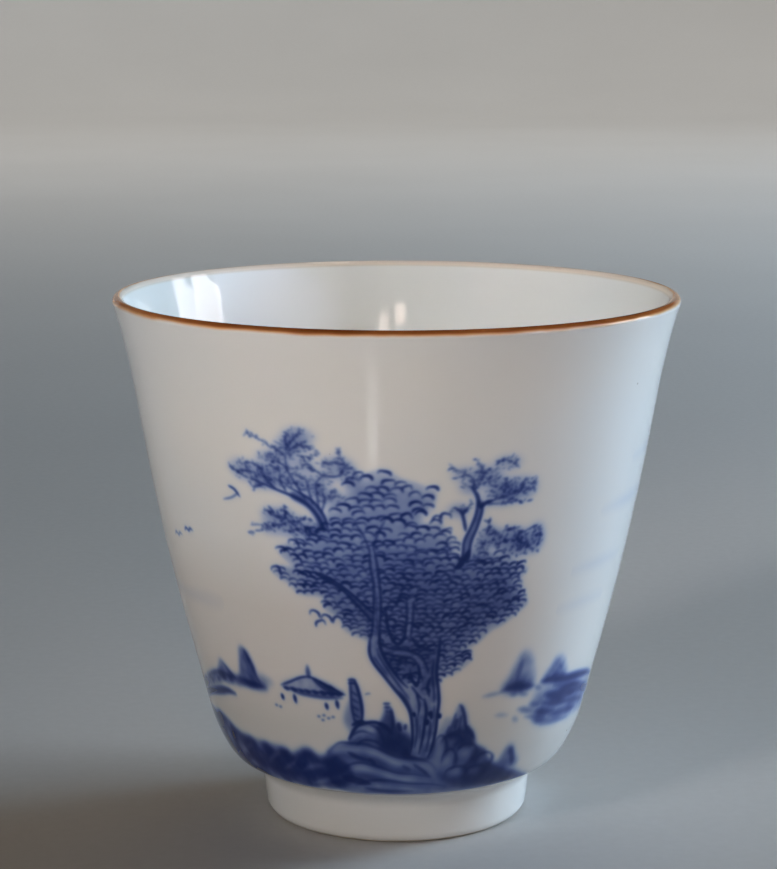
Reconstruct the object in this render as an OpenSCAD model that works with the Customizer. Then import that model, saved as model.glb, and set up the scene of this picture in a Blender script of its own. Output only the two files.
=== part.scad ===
// Small porcelain teacup: a thin flared wall on a turned foot ring, glazed all over except for the
// bare edge it stands on. The origin is at the middle of the foot, on the table, and +Z is up.
// Every part is a solid of revolution about Z, and one outline of the whole cup drives them all.

/* [Bowl] */
// Diameter across the flared lip
rim_d = 66; // [64:0.5:70]
// Height from the table to the top of the lip
cup_h = 62; // [60:0.5:66]
// Diameter at the waist, where the wall starts to flare
waist_d = 60.8; // [60:0.2:61.6]
// Height of the waist
waist_h = 50; // [48:0.5:52]
// Diameter at the hip, where the wall turns in towards the foot
hip_d = 44.6; // [43.6:0.2:45.6]
// Height of the hip
hip_h = 13.3; // [13:0.1:14]

/* [Thickness] */
// Thickness at the lip, glaze included
lip_t = 1.3; // [1.1:0.1:1.6]
// Thickness at the waist
waist_t = 1.6; // [1.4:0.1:1.9]
// Thickness at the hip
hip_t = 2.2; // [2:0.1:2.5]
// Thickness of the floor
floor_t = 3.2; // [2.8:0.1:3.6]
// Thickness of each coat of glaze
glaze_t = 0.2; // [0.15:0.05:0.3]

/* [Foot] */
// Outer diameter of the foot ring, just above its rounded edge
foot_d = 31.2; // [30:0.2:32]
// Thickness of the foot ring
foot_t = 2.6; // [2.4:0.1:3]
// Depth of the well inside the foot ring
well_depth = 4.4; // [4.2:0.1:4.8]

/* [Hidden] */
$fn = 144;
// straight pieces in each curve of the outline
curve_steps = 14;

// A lean is how far the wall moves out for each millimetre that it rises.
lip_lean = 0.33;
waist_lean = 0.167;
hip_lean = 0.258;
belly_lean = 2.3;
foot_lean = 0.1;

// Points that the outside passes through, as [radius, height]
lip_centre = [rim_d / 2 - lip_t / 2, cup_h - lip_t / 2];
waist = [waist_d / 2, waist_h];
hip = [hip_d / 2, hip_h];
belly = [hip.x - 3.2, hip.y - 6.1];
foot_top = [foot_d / 2 + 0.4, 4.4];

// The inside follows the outside at the waist and the hip, and then rounds into a flat floor.
waist_inside = waist - [waist_t, 0];
hip_inside = hip - [hip_t, 0];
floor_flat_r = 5;
floor_h = well_depth + floor_t;

// Roundings of the foot: its outer edge, its inner edge and the corner of the well
outer_round = 1.2;
inner_round = 0.6;
well_round = 1;
outer_round_centre = [foot_d / 2 - outer_round, outer_round];
inner_round_centre = [foot_d / 2 - foot_t + inner_round, inner_round];
well_round_centre = [foot_d / 2 - foot_t - well_round, well_depth - well_round];

// The glaze stops this high above the table, and the edge below it is bare.
bare_h = 0.35;
outer_stop = -asin(1 - bare_h / outer_round);
inner_stop = -180 + asin(1 - bare_h / inner_round);

// Each curve below is a list of samples, [point, direction of travel], with the porcelain on its right.
function unit(v) = v / norm(v);

function step_towards(lean, reach) = reach * unit([lean, 1]);

function bezier_point(p, t) =
    pow(1 - t, 3) * p[0] + 3 * pow(1 - t, 2) * t * p[1] + 3 * (1 - t) * t * t * p[2] + pow(t, 3) * p[3];

function bezier_slope(p, t) =
    pow(1 - t, 2) * (p[1] - p[0]) + 2 * (1 - t) * t * (p[2] - p[1]) + t * t * (p[3] - p[2]);

function bezier(p) =
    [for (i = [0:curve_steps]) let (t = i / curve_steps) [bezier_point(p, t), unit(bezier_slope(p, t))]];

// A smooth stretch of wall going down from a to b, or up from a to b, with a lean and a reach at each end
function going_down(a, lean_a, reach_a, b, lean_b, reach_b) =
    bezier([a, a - step_towards(lean_a, reach_a), b + step_towards(lean_b, reach_b), b]);

function going_up(a, lean_a, reach_a, b, lean_b, reach_b) =
    bezier([a, a + step_towards(lean_a, reach_a), b - step_towards(lean_b, reach_b), b]);

function arc(centre, radius, from, to) =
    [for (i = [0:curve_steps])
        let (a = from + (to - from) * i / curve_steps)
        [centre + radius * [cos(a), sin(a)], sign(to - from) * [-sin(a), cos(a)]]];

function straight(a, b) = [[a, unit(b - a)], [b, unit(b - a)]];

function end_point(curve) = curve[len(curve) - 1][0];

// One curve made of several, each starting where the one before it ends
function joined(curves) =
    [for (i = [0:len(curves) - 1]) for (j = [(i == 0 ? 0 : 1):len(curves[i]) - 1]) curves[i][j]];

function on_glaze(curve) = [for (sample = curve) sample[0]];

function under_glaze(curve) =
    [for (sample = curve) sample[0] + glaze_t * [sample[1].y, -sample[1].x]];

function reversed(list) = [for (i = [len(list) - 1:-1:0]) list[i]];

// The outline of the cup, in seven curves: up the inside, over the lip, down the wall and the outside of
// the foot, across the bare edge, up the inside of the foot, and along the roof of the well to the axis
lip_turn = atan(lip_lean);
lip_curve = arc(lip_centre, lip_t / 2, 180 - lip_turn, -lip_turn);

inside_curve = joined([
    straight([0, floor_h], [floor_flat_r, floor_h]),
    bezier([
        [floor_flat_r, floor_h],
        [floor_flat_r + 10, floor_h],
        hip_inside - step_towards(hip_lean, 4.4),
        hip_inside
    ]),
    going_up(hip_inside, hip_lean, 12, waist_inside, waist_lean, 19),
    going_up(waist_inside, waist_lean, 6, lip_curve[0][0], lip_lean, 1.5)
]);

wall_curve = joined([
    going_down(end_point(lip_curve), lip_lean, 1.5, waist, waist_lean, 6),
    going_down(waist, waist_lean, 19, hip, hip_lean, 12),
    going_down(hip, hip_lean, 2.7, belly, belly_lean, 1.1),
    going_down(belly, belly_lean, 1.9, foot_top, foot_lean, 1.3)
]);

foot_turn = atan(foot_lean);
foot_round = arc(outer_round_centre, outer_round, -foot_turn, outer_stop);
foot_outside_curve = joined([
    going_down(foot_top, foot_lean, 1, foot_round[0][0], foot_lean, 1),
    foot_round
]);

bare_curve = joined([
    arc(outer_round_centre, outer_round, outer_stop, -90),
    straight([outer_round_centre.x, 0], [inner_round_centre.x, 0]),
    arc(inner_round_centre, inner_round, -90, inner_stop)
]);

foot_inside_curve = joined([
    arc(inner_round_centre, inner_round, inner_stop, -180),
    straight(
        inner_round_centre - [inner_round, 0],
        well_round_centre + [well_round, 0]
    ),
    arc(well_round_centre, well_round, 0, 90)
]);

well_roof_curve = straight([well_round_centre.x, well_depth], [0, well_depth]);

// A solid of revolution with this [radius, height] section
module revolved(section) {
    rotate_extrude() polygon(section);
}

// A coat of glaze laid along a curve
module coat(curve) {
    revolved(concat(on_glaze(curve), reversed(under_glaze(curve))));
}

// The thin wall and the floor, under the glaze
module bowl() {
    color("#f4f1ea")
        revolved(concat(
            under_glaze(joined([inside_curve, lip_curve, wall_curve])),
            under_glaze(well_roof_curve)
        ));
}

// The ring that the bowl stands on, under the glaze
module foot_ring() {
    color("#efece4")
        revolved(concat(under_glaze(foot_outside_curve), under_glaze(foot_inside_curve)));
}

// The bare, rounded edge of the foot ring, with a narrow flat that touches the table
module foot_edge() {
    color("#d8cbb4")
        revolved(concat(
            on_glaze(bare_curve),
            [under_glaze(foot_inside_curve)[0]],
            [under_glaze([foot_outside_curve[len(foot_outside_curve) - 1]])[0]]
        ));
}

// The clear glaze on the outside, from the brown line down to the bare edge
module outer_glaze() {
    color("#eef1f2") coat(joined([wall_curve, foot_outside_curve]));
}

// The glaze on the inside wall and floor
module inner_glaze() {
    color("#f2f4f1") coat(inside_curve);
}

// The glaze in the well under the cup
module base_glaze() {
    color("#eceff0") coat(joined([foot_inside_curve, well_roof_curve]));
}

// The iron-brown line that caps the lip
module rim_band() {
    color("#7b431c") coat(lip_curve);
}

bowl();
foot_ring();
foot_edge();
outer_glaze();
inner_glaze();
base_glaze();
rim_band();
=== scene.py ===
import math

import bpy
import numpy as np
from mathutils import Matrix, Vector


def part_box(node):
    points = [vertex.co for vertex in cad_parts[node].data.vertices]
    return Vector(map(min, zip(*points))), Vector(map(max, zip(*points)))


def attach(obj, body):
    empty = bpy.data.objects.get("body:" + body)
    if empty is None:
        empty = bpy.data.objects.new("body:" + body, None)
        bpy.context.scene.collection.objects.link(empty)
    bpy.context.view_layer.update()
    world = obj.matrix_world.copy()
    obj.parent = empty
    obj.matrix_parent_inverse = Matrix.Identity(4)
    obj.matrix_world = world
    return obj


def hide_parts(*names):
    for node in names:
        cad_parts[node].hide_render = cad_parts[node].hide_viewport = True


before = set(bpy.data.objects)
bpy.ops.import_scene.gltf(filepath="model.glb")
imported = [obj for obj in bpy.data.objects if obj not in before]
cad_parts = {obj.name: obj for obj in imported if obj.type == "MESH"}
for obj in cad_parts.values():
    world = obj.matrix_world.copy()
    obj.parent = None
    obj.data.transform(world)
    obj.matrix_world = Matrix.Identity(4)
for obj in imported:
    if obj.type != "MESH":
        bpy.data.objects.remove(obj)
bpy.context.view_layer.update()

# Lengths are in millimetres, as in the CAD source, and MM turns them into metres where a mesh is made.
# The cup stands on z = 0 with its axis at x = y = 0, and the painted tree faces -Y.
MM = 0.001

# ---------------------------------------------------------------------------------------------
# Driving dimensions: the outline of the cup, as [radius, height]
# ---------------------------------------------------------------------------------------------
rim_r = round(max(abs(v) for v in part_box("rim_band")[0][:2]) / MM, 1)
cup_h = round(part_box("rim_band")[1].z / MM, 1)
lip_t, waist_t, hip_t = 1.3, 1.6, 2.2
glaze_t = 0.2
lip_lean, waist_lean, hip_lean, belly_lean, foot_lean = 0.33, 0.167, 0.258, 2.3, 0.1

lip_centre = np.array([rim_r - lip_t / 2, cup_h - lip_t / 2])
waist = np.array([30.4, 50.0])
hip = np.array([22.3, 13.3])
belly = hip - [3.2, 6.1]
foot_r = 15.6
foot_t = 2.6
foot_top = np.array([foot_r + 0.4, 4.4])
waist_inside = waist - [waist_t, 0]
hip_inside = hip - [hip_t, 0]
floor_flat_r = 5.0
floor_h = 7.6
well_depth = 4.4
outer_round, inner_round, well_round = 1.2, 0.6, 1.0
outer_round_centre = np.array([foot_r - outer_round, outer_round])
inner_round_centre = np.array([foot_r - foot_t + inner_round, inner_round])
well_round_centre = np.array([foot_r - foot_t - well_round, well_depth - well_round])
bare_h = 0.35
outer_stop = -math.asin(1 - bare_h / outer_round)
inner_stop = -math.pi + math.asin(1 - bare_h / inner_round)


# A curve is rows of [radius, height, and the direction of travel], with the porcelain on its right.
def unit(v):
    v = np.asarray(v, float)
    return v / np.linalg.norm(v, axis=-1, keepdims=True)


def step_towards(lean, reach):
    return reach * unit([lean, 1])


def bezier(p, steps):
    p = np.array(p, float)
    t = np.linspace(0, 1, steps + 1)[:, None]
    points = (1 - t) ** 3 * p[0] + 3 * (1 - t) ** 2 * t * p[1] + 3 * (1 - t) * t * t * p[2] + t ** 3 * p[3]
    slopes = (1 - t) ** 2 * (p[1] - p[0]) + 2 * (1 - t) * t * (p[2] - p[1]) + t * t * (p[3] - p[2])
    return np.hstack([points, unit(slopes)])


def going_down(a, lean_a, reach_a, b, lean_b, reach_b, steps):
    return bezier([a, a - step_towards(lean_a, reach_a), b + step_towards(lean_b, reach_b), b], steps)


def going_up(a, lean_a, reach_a, b, lean_b, reach_b, steps):
    return bezier([a, a + step_towards(lean_a, reach_a), b - step_towards(lean_b, reach_b), b], steps)


def arc(centre, radius, start, end, steps):
    a = np.linspace(start, end, steps + 1)
    turn = math.copysign(1, end - start)
    return np.stack([centre[0] + radius * np.cos(a), centre[1] + radius * np.sin(a),
                     -turn * np.sin(a), turn * np.cos(a)], axis=1)


def straight(a, b, steps):
    a, b = np.array(a, float), np.array(b, float)
    t = np.linspace(0, 1, steps + 1)[:, None]
    return np.hstack([a + t * (b - a), np.repeat(unit(b - a)[None], steps + 1, 0)])


def joined(*curves):
    """One curve from several, each starting where the one before it ends."""
    return np.vstack([curves[0]] + [c[1:] for c in curves[1:]])


def outward(curve):
    """The direction out of the porcelain at each sample, in radius and height."""
    return np.stack([-curve[:, 3], curve[:, 2]], axis=1)


def length_along(points):
    return np.concatenate([[0], np.cumsum(np.linalg.norm(np.diff(points[:, :2], axis=0), axis=1))])


lip_turn = math.atan(lip_lean)
lip_curve = arc(lip_centre, lip_t / 2, math.pi - lip_turn, -lip_turn, 24)
inside_curve = joined(
    straight([0, floor_h], [floor_flat_r, floor_h], 6),
    bezier([[floor_flat_r, floor_h], [floor_flat_r + 10, floor_h], hip_inside - step_towards(hip_lean, 4.4),
            hip_inside], 36),
    going_up(hip_inside, hip_lean, 12, waist_inside, waist_lean, 19, 56),
    going_up(waist_inside, waist_lean, 6, lip_curve[0, :2], lip_lean, 1.5, 30),
)
wall_curve = joined(
    going_down(lip_curve[-1, :2], lip_lean, 1.5, waist, waist_lean, 6, 34),
    going_down(waist, waist_lean, 19, hip, hip_lean, 12, 56),
    going_down(hip, hip_lean, 2.7, belly, belly_lean, 1.1, 26),
    going_down(belly, belly_lean, 1.9, foot_top, foot_lean, 1.3, 20),
)
foot_turn = math.atan(foot_lean)
foot_round = arc(outer_round_centre, outer_round, -foot_turn, outer_stop, 8)
foot_outside_curve = joined(
    going_down(foot_top, foot_lean, 1, foot_round[0, :2], foot_lean, 1, 10),
    foot_round,
)
bare_curve = joined(
    arc(outer_round_centre, outer_round, outer_stop, -math.pi / 2, 8),
    straight([outer_round_centre[0], 0], [inner_round_centre[0], 0], 2),
    arc(inner_round_centre, inner_round, -math.pi / 2, inner_stop, 6),
)
foot_inside_curve = joined(
    arc(inner_round_centre, inner_round, inner_stop, -math.pi, 4),
    straight(inner_round_centre - [inner_round, 0], well_round_centre + [well_round, 0], 4),
    arc(well_round_centre, well_round, 0, math.pi / 2, 10),
)
well_roof_curve = straight([well_round_centre[0], well_depth], [0, well_depth], 12)


# ---------------------------------------------------------------------------------------------
# Turned meshes
# ---------------------------------------------------------------------------------------------
SEGMENTS = 288


def make_mesh(name, points, normals, faces, marks=None):
    """A mesh in metres with the given smooth normals. marks are named numbers at each point."""
    mesh = bpy.data.meshes.new(name)
    mesh.from_pydata((points * MM).tolist(), [], faces)
    mesh.shade_smooth()
    mesh.normals_split_custom_set_from_vertices(normals.tolist())
    for mark, values in (marks or {}).items():
        attribute = mesh.attributes.new(mark, "FLOAT", "POINT")
        attribute.data.foreach_set("value", np.asarray(values, np.float32))
    piece = bpy.data.objects.new(name, mesh)
    bpy.context.scene.collection.objects.link(piece)
    return piece


def turned(name, rings, ring_normals, ring_marks=None, closed=True):
    """Turns a section about Z. A ring on the axis becomes one point."""
    angles = np.arange(SEGMENTS) * 2 * math.pi / SEGMENTS
    sin, cos = np.sin(angles), np.cos(angles)
    points, normals, marks, first = [], [], {k: [] for k in ring_marks or {}}, []
    total = 0
    for i, ((r, z), (out, up)) in enumerate(zip(rings, ring_normals)):
        count = 1 if r < 1e-6 else SEGMENTS
        first.append((total, count))
        if count == 1:
            points.append([[0, 0, z]])
            normals.append([[0, 0, math.copysign(1, up)]])
        else:
            points.append(np.stack([r * sin, -r * cos, np.full(SEGMENTS, z)], 1))
            normals.append(np.stack([out * sin, -out * cos, np.full(SEGMENTS, up)], 1))
        for k in marks:
            marks[k].append(np.full(count, ring_marks[k][i]))
        total += count
    faces = []
    pairs = list(zip(first, first[1:] + first[:1]))
    for (a, count_a), (b, count_b) in pairs if closed else pairs[:-1]:
        for j in range(SEGMENTS):
            k = (j + 1) % SEGMENTS
            if count_a == 1 and count_b == 1:
                continue
            if count_a == 1:
                faces.append((a, b + j, b + k))
            elif count_b == 1:
                faces.append((a + j, b, a + k))
            else:
                faces.append((a + j, b + j, b + k, a + k))
    return make_mesh(name, np.vstack(points), np.vstack(normals), faces,
                     {k: np.concatenate(v) for k, v in marks.items()})


def coat(name, curve, marks=None):
    """A coat of glaze laid along a curve, closed underneath."""
    out = outward(curve)
    rings = np.vstack([curve[:, :2], (curve[:, :2] - glaze_t * out)[::-1]])
    ring_normals = np.vstack([out, -out[::-1]])
    on_axis = curve[0, 0] < 1e-6 or curve[-1, 0] < 1e-6
    both = {k: np.concatenate([v, v[::-1]]) for k, v in (marks or {}).items()}
    return turned(name, rings, ring_normals, both, closed=not on_axis)


# ---------------------------------------------------------------------------------------------
# The painting. It is laid out on the unrolled wall: x in mm to the right of the front along a
# circle of radius 26 mm, z in mm above the table. The layer holds how much cobalt lies at each cell,
# from 0 to 1, and every brush below works on it.
# ---------------------------------------------------------------------------------------------
UNROLL_R = 26.0
CELL = 0.055
LEFT = -math.pi * UNROLL_R
BOTTOM = 5.0
TOP = 55.0
COLUMNS = int(round(2 * math.pi * UNROLL_R / CELL))
ROWS = int(round((TOP - BOTTOM) / CELL))
dice = np.random.default_rng(7)
layer = np.zeros((ROWS, COLUMNS), np.float32)


def window(points, reach):
    """The rows and columns of the layer that lie within reach of some points."""
    low = np.min(points, axis=0) - reach
    high = np.max(points, axis=0) + reach
    c0 = max(int((low[0] - LEFT) / CELL), 0)
    c1 = min(int((high[0] - LEFT) / CELL) + 2, COLUMNS)
    r0 = max(int((low[1] - BOTTOM) / CELL), 0)
    r1 = min(int((high[1] - BOTTOM) / CELL) + 2, ROWS)
    return slice(r0, max(r1, r0)), slice(c0, max(c1, c0))


def cell_places(rows, columns):
    """The z of each row and the x of each column in a window."""
    z = BOTTOM + (np.arange(rows.start, rows.stop) + 0.5) * CELL
    x = LEFT + (np.arange(columns.start, columns.stop) + 0.5) * CELL
    return z, x


def add_ink(rows, columns, ink):
    layer[rows, columns] = 1 - (1 - layer[rows, columns]) * (1 - np.clip(ink, 0, 1))


def smooth(t):
    t = np.clip(t, 0, 1)
    return t * t * (3 - 2 * t)


def spline(points, step=0.12, closed=False):
    """A smooth curve through given points."""
    p = np.array(points, float)
    if closed:
        p = np.vstack([p[-1], p, p[0], p[1]])
    else:
        p = np.vstack([2 * p[0] - p[1], p, 2 * p[-1] - p[-2]])
    pieces = []
    for i in range(1, len(p) - 2):
        count = max(int(np.linalg.norm(p[i + 1] - p[i]) / step), 2)
        t = np.linspace(0, 1, count, endpoint=False)[:, None]
        pieces.append(0.5 * (
            2 * p[i] + (p[i + 1] - p[i - 1]) * t
            + (2 * p[i - 1] - 5 * p[i] + 4 * p[i + 1] - p[i + 2]) * t ** 2
            + (3 * p[i] - p[i - 1] - 3 * p[i + 1] + p[i + 2]) * t ** 3
        ))
    if not closed:
        pieces.append(p[-2:-1])
    return np.vstack(pieces)


def blur(a, sigma):
    """Spreads a picture by a Gaussian of sigma cells."""
    reach = max(int(3 * sigma), 1)
    weights = np.exp(-0.5 * (np.arange(-reach, reach + 1) / sigma) ** 2)
    weights /= weights.sum()
    for axis in (0, 1):
        padded = np.pad(a, [(reach, reach) if k == axis else (0, 0) for k in (0, 1)], mode="edge")
        size = a.shape[axis]
        a = sum(w * np.take(padded, range(i, i + size), axis) for i, w in enumerate(weights))
    return a


def clouds(rows, columns, size):
    """Soft noise from 0 to 1, with patches about size mm across."""
    z, x = cell_places(rows, columns)
    u = (x - x[0]) / size
    v = (z - z[0]) / size
    grid = dice.random((int(v[-1]) + 2, int(u[-1]) + 2)).astype(np.float32)
    i, j = v.astype(int), u.astype(int)
    s, t = smooth(v - i)[:, None], smooth(u - j)[None, :]
    low = grid[i][:, j] * (1 - t) + grid[i][:, j + 1] * t
    high = grid[i + 1][:, j] * (1 - t) + grid[i + 1][:, j + 1] * t
    return low * (1 - s) + high * s


# How many steps of a stroke are laid down at once, to keep each patch of cells small
RUN = 10


def stroke(points, width, ink, taper=(0.2, 0.35), soft=0.09, lift=False):
    """One brush stroke, which starts and ends in a point. With lift, it takes ink away instead."""
    path = spline(points)
    walked = np.concatenate([[0], np.cumsum(np.linalg.norm(np.diff(path, axis=0), axis=1))])
    along = walked / max(walked[-1], 1e-6)
    swell = np.minimum(1, (along + 0.05) / taper[0]) * np.minimum(1, (1.05 - along) / taper[1])
    half = 0.5 * width * np.clip(swell, 0, 1) ** 0.7
    strength = ink * np.clip(half / (0.4 * soft), 0, 1) ** 0.5
    rows, columns = window(path, half.max() + soft)
    row0, column0 = rows.start, columns.start
    cover = np.zeros((rows.stop - row0, columns.stop - column0), np.float32)
    for first in range(0, len(path) - 1, RUN):
        part = path[first:first + RUN + 1]
        r, c = window(part, half.max() + soft)
        z, x = cell_places(r, c)
        if not (len(z) and len(x)):
            continue
        a, d = part[:-1], np.diff(part, axis=0)
        dx, dz = x[None, :, None] - a[:, 0], z[:, None, None] - a[:, 1]
        t = np.clip((dx * d[:, 0] + dz * d[:, 1]) / np.maximum((d ** 2).sum(1), 1e-9), 0, 1)
        away = np.hypot(dx - t * d[:, 0], dz - t * d[:, 1])
        h, s = half[first:first + RUN + 1], strength[first:first + RUN + 1]
        h = h[:-1] + t * np.diff(h)
        s = s[:-1] + t * np.diff(s)
        value = (smooth((h + 0.5 * soft - away) / soft) * s).max(axis=2)
        here = cover[r.start - row0:r.stop - row0, c.start - column0:c.stop - column0]
        np.maximum(here, value, out=here)
    if lift:
        layer[rows, columns] *= 1 - cover
    else:
        add_ink(rows, columns, cover)


def strokes(rows, **manner):
    """Several strokes in the same manner, each with its points, its width and its ink."""
    for points, width, ink in rows:
        stroke(points, width, ink, **manner)


def filled(outline, feather):
    """How far each cell is inside a closed outline, from 0 to 1, with a soft edge feather mm wide."""
    edge = spline(outline, 0.3, closed=True)
    rows, columns = window(edge, 2 * feather)
    z, x = cell_places(rows, columns)
    inside = np.zeros((len(z), len(x)), bool)
    for (x0, z0), (x1, z1) in zip(edge, np.roll(edge, -1, axis=0)):
        if z0 == z1:
            continue
        crossed = (z0 > z) != (z1 > z)
        at = x0 + (z - z0) * (x1 - x0) / (z1 - z0)
        inside[crossed] ^= x[None, :] < at[crossed][:, None]
    return rows, columns, blur(inside.astype(np.float32), max(0.5 * feather / CELL, 0.5))


def wash(outline, ink, feather=0.3, mottle=0.3, size=1.6):
    """A thin wash of cobalt, a little cloudy, with patches about size mm across."""
    rows, columns, inside = filled(outline, feather)
    broad = clouds(rows, columns, size)
    fine = clouds(rows, columns, 0.4 * size) ** 0.3
    add_ink(rows, columns, inside * ink * (1 - mottle + mottle * 2 * broad * fine))


def lift(outline, amount, feather=0.3):
    """Takes part of the ink away inside an outline, as a brush with clean water does."""
    rows, columns, inside = filled(outline, feather)
    layer[rows, columns] *= 1 - amount * inside


def oval(x, z, wide, high, angles=np.arange(8) * math.pi / 4):
    return [(x + 0.5 * wide * math.cos(a), z + 0.5 * high * math.sin(a)) for a in angles]


# ------------------------------------------------------------------ brushes for plants
# The width of a twig, and the usual length of a leaf dab on a twig and in a tuft, in mm
TWIG_WIDTH = 0.11
SPRAY_REACH = 0.5
TUFT_REACH = 0.42


def leaf(x, z, wide, high, ink, width):
    """One leaf of the big crown: a pale core under an arch that is heavier to one end."""
    tip = 0.14 * wide * dice.normal()
    drop = 0.16 * high * dice.normal()
    heavy = dice.choice((-1, 1))
    core = [(x - 0.22 * wide, z + 0.15 * high), (x + 0.22 * wide, z + 0.1 * high)]
    stroke(core, 0.6 * high, 0.3, soft=0.35, lift=True)
    arch = [
        (x - 0.5 * heavy * wide, z + 0.1 * high + drop),
        (x - 0.38 * heavy * wide, z + 0.72 * high + drop),
        (x + tip, z + high),
        (x + 0.4 * heavy * wide, z + 0.62 * high),
        (x + 0.5 * heavy * wide, z - 0.1 * high),
    ]
    stroke(arch, width, ink, taper=(0.7, 0.25))


def foliage(outline, wide=1.0, high=0.36, slope=-0.05):
    """Rows of arched leaves all over an outline, looser and larger towards the top of the crown."""
    rows, columns, inside = filled(outline, 0.25)
    z_cells, x_cells = cell_places(rows, columns)
    dark = clouds(rows, columns, 2.6)
    z = z_cells[-1]
    shift = 0.0
    while z > z_cells[0]:
        loose = float(smooth((z - 34.5) / 7))
        size = 1 + 0.24 * loose
        shift = 0.55 - shift
        wave = 2 * math.pi * dice.random()
        x = x_cells[0] + (shift + 0.3 * dice.random()) * wide
        while x < x_cells[-1]:
            waver = (0.12 + 0.1 * loose) * math.sin(0.9 * x + wave)
            level = z + slope * (x - x_cells[0]) + waver + 0.07 * dice.normal()
            i = int((level - z_cells[0]) / CELL)
            j = int((x - x_cells[0]) / CELL)
            if 0 <= i < len(z_cells) and inside[i, j] > 0.5 and dice.random() > 0.05 + 0.08 * loose:
                accent = dice.random() < 0.3
                ink = (1.0 if accent else 0.78) * (0.74 + 0.42 * dark[i, j]) * (0.9 + 0.2 * dice.random())
                leaf(x, level, wide * size * (0.8 + 0.35 * dice.random()),
                     high * (1 + 0.3 * loose) * (0.75 + 0.5 * dice.random()), min(ink, 0.96),
                     (0.24 if accent else 0.17) + 0.04 * dice.random())
            x += wide * size * (0.8 + 0.28 * dice.random())
        z -= 0.56 + 0.2 * loose


def dab(start, aim, reach, widths, inks, **manner):
    """A short, slightly bent touch. widths and inks are each a least value, and how much chance adds."""
    tip = start + reach * np.array([math.cos(aim), math.sin(aim)])
    bend = 0.5 * (start + tip) + 0.07 * dice.normal(size=2)
    width = widths[0] + widths[1] * dice.random()
    ink = inks[0] + inks[1] * dice.random()
    stroke([start, bend, tip], width, ink, **manner)


def sprays(paths, ink, gap=0.2, width=0.15, step=0.05):
    """Twigs with short, uneven dabs of leaf along them."""
    for points in paths:
        path = spline(points, step)
        stroke(points, TWIG_WIDTH, 0.75 * ink, taper=(0.05, 0.6))
        at = 0.5 * gap
        while at < len(path) * step:
            k = min(int(at / step), len(path) - 2)
            heading = math.atan2(*(path[k + 1] - path[k])[::-1])
            aim = heading + dice.choice((-1, 1)) * 0.95 * (0.2 + 1.1 * dice.random())
            reach = SPRAY_REACH * (0.35 + dice.random() ** 1.5)
            start = path[k] + 0.06 * dice.normal(size=2)
            inks = (0.5 * ink, 0.65 * ink)
            dab(start, aim, reach, (0.6 * width, 1.1 * width), inks, taper=(0.2, 0.5), soft=0.12)
            at += gap * (0.5 + dice.random())


def tufts(places, wider, higher, fuller, ink, width, mist):
    """Clumps of leaf dabs, each over a breath of pale wash: x, z, width, height and how many dabs."""
    for x, z, wide, high, count in places:
        wide *= wider
        high *= higher
        wash(oval(x, z, wide, high), mist, feather=0.9)
        for _ in range(round(fuller * count)):
            a, r = 2 * math.pi * dice.random(), math.sqrt(dice.random())
            start = np.array([x + 0.5 * wide * r * math.cos(a), z + 0.5 * high * r * math.sin(a)])
            aim = math.atan2(start[1] - z + 0.4 * high, start[0] - x) + 0.7 * dice.normal()
            reach = TUFT_REACH * (0.5 + 0.8 * dice.random())
            inks = (0.65 * ink, 0.5 * ink)
            dab(start, aim, reach, (0.7 * width, 0.8 * width), inks, taper=(0.15, 0.5))


# ------------------------------------------------------------------ the tree
CROWN = [
    (-2.4, 46.5), (-1.2, 46.8), (0.4, 45.8), (2, 45.2), (3.6, 44.2), (3.5, 42.9), (2.4, 41.9),
    (2.6, 40.6), (4.1, 40.9), (4.7, 39.6), (5.7, 38.6), (6, 36.6), (7.6, 36.4), (9.6, 36.9), (12, 36),
    (13.3, 35), (14.3, 34.4), (13.2, 33.2), (13.9, 31.6), (14.9, 30.4), (13.8, 29.4), (12.2, 28.2),
    (10.6, 27.5), (9.3, 26.3), (7.7, 25.4), (8.7, 24.5), (7.9, 23.4), (6.3, 22.5), (5.2, 22.2),
    (4.6, 21.4), (2.6, 21.2), (-0.4, 22.6), (-2.4, 25), (-2.9, 26.7), (-4.4, 27.3), (-5.7, 28),
    (-6.2, 29.4), (-7.8, 30.4), (-7.9, 31.8), (-10.6, 32), (-11.6, 33), (-13.4, 34.1), (-12.9, 34.9),
    (-11, 35.1), (-12.4, 36.6), (-11.4, 37.7), (-9.6, 38.2), (-8.6, 39.8), (-7, 40.6), (-6.6, 42.2),
    (-5, 43.6), (-4.6, 45.4),
]


def paint_crown():
    wash(CROWN, 0.11, feather=0.3, size=1.8)
    wash([(0.91 * x, 34 + 0.91 * (z - 34)) for x, z in CROWN], 0.13, feather=0.8, size=1.8)
    wash([(-7.4, 34.4), (-3.5, 37.6), (1.5, 37.8), (4.6, 36.2), (9.4, 35.4), (12.9, 33.6), (13.2, 30.6),
          (9.6, 28), (7, 25.6), (4.8, 24.6), (-0.2, 24.4), (-3.2, 28), (-6.8, 31)], 0.14, 1.2, 0.35, 2.2)
    wash([(0.6, 35.2), (4.6, 34.6), (11.8, 33.4), (12.6, 30.6), (8.4, 28.2), (4.6, 25.6), (0.6, 26.4),
          (-0.8, 30)], 0.1, 1.2, 0.4, 1.8)
    foliage(CROWN)
    for x, z in ((-9, 29.4), (-7.7, 29), (-8.4, 28.3), (-6.4, 28.9), (4.7, 41), (-13, 34.2), (-10.6, 37.5)):
        leaf(x, z, 1.15, 0.75, 0.75, 0.23)


def limb(left, right, body, ink, width, clear):
    """A branch or the trunk: what lies under it is washed off, then its two sides are lined."""
    outline = left + right[::-1]
    lift(outline, clear, feather=0.25)
    wash(outline, 0.6 * body, feather=0.2, size=1.0)
    for side in (left, right):
        stroke(side, width, ink, taper=(0.1, 0.2))


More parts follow.
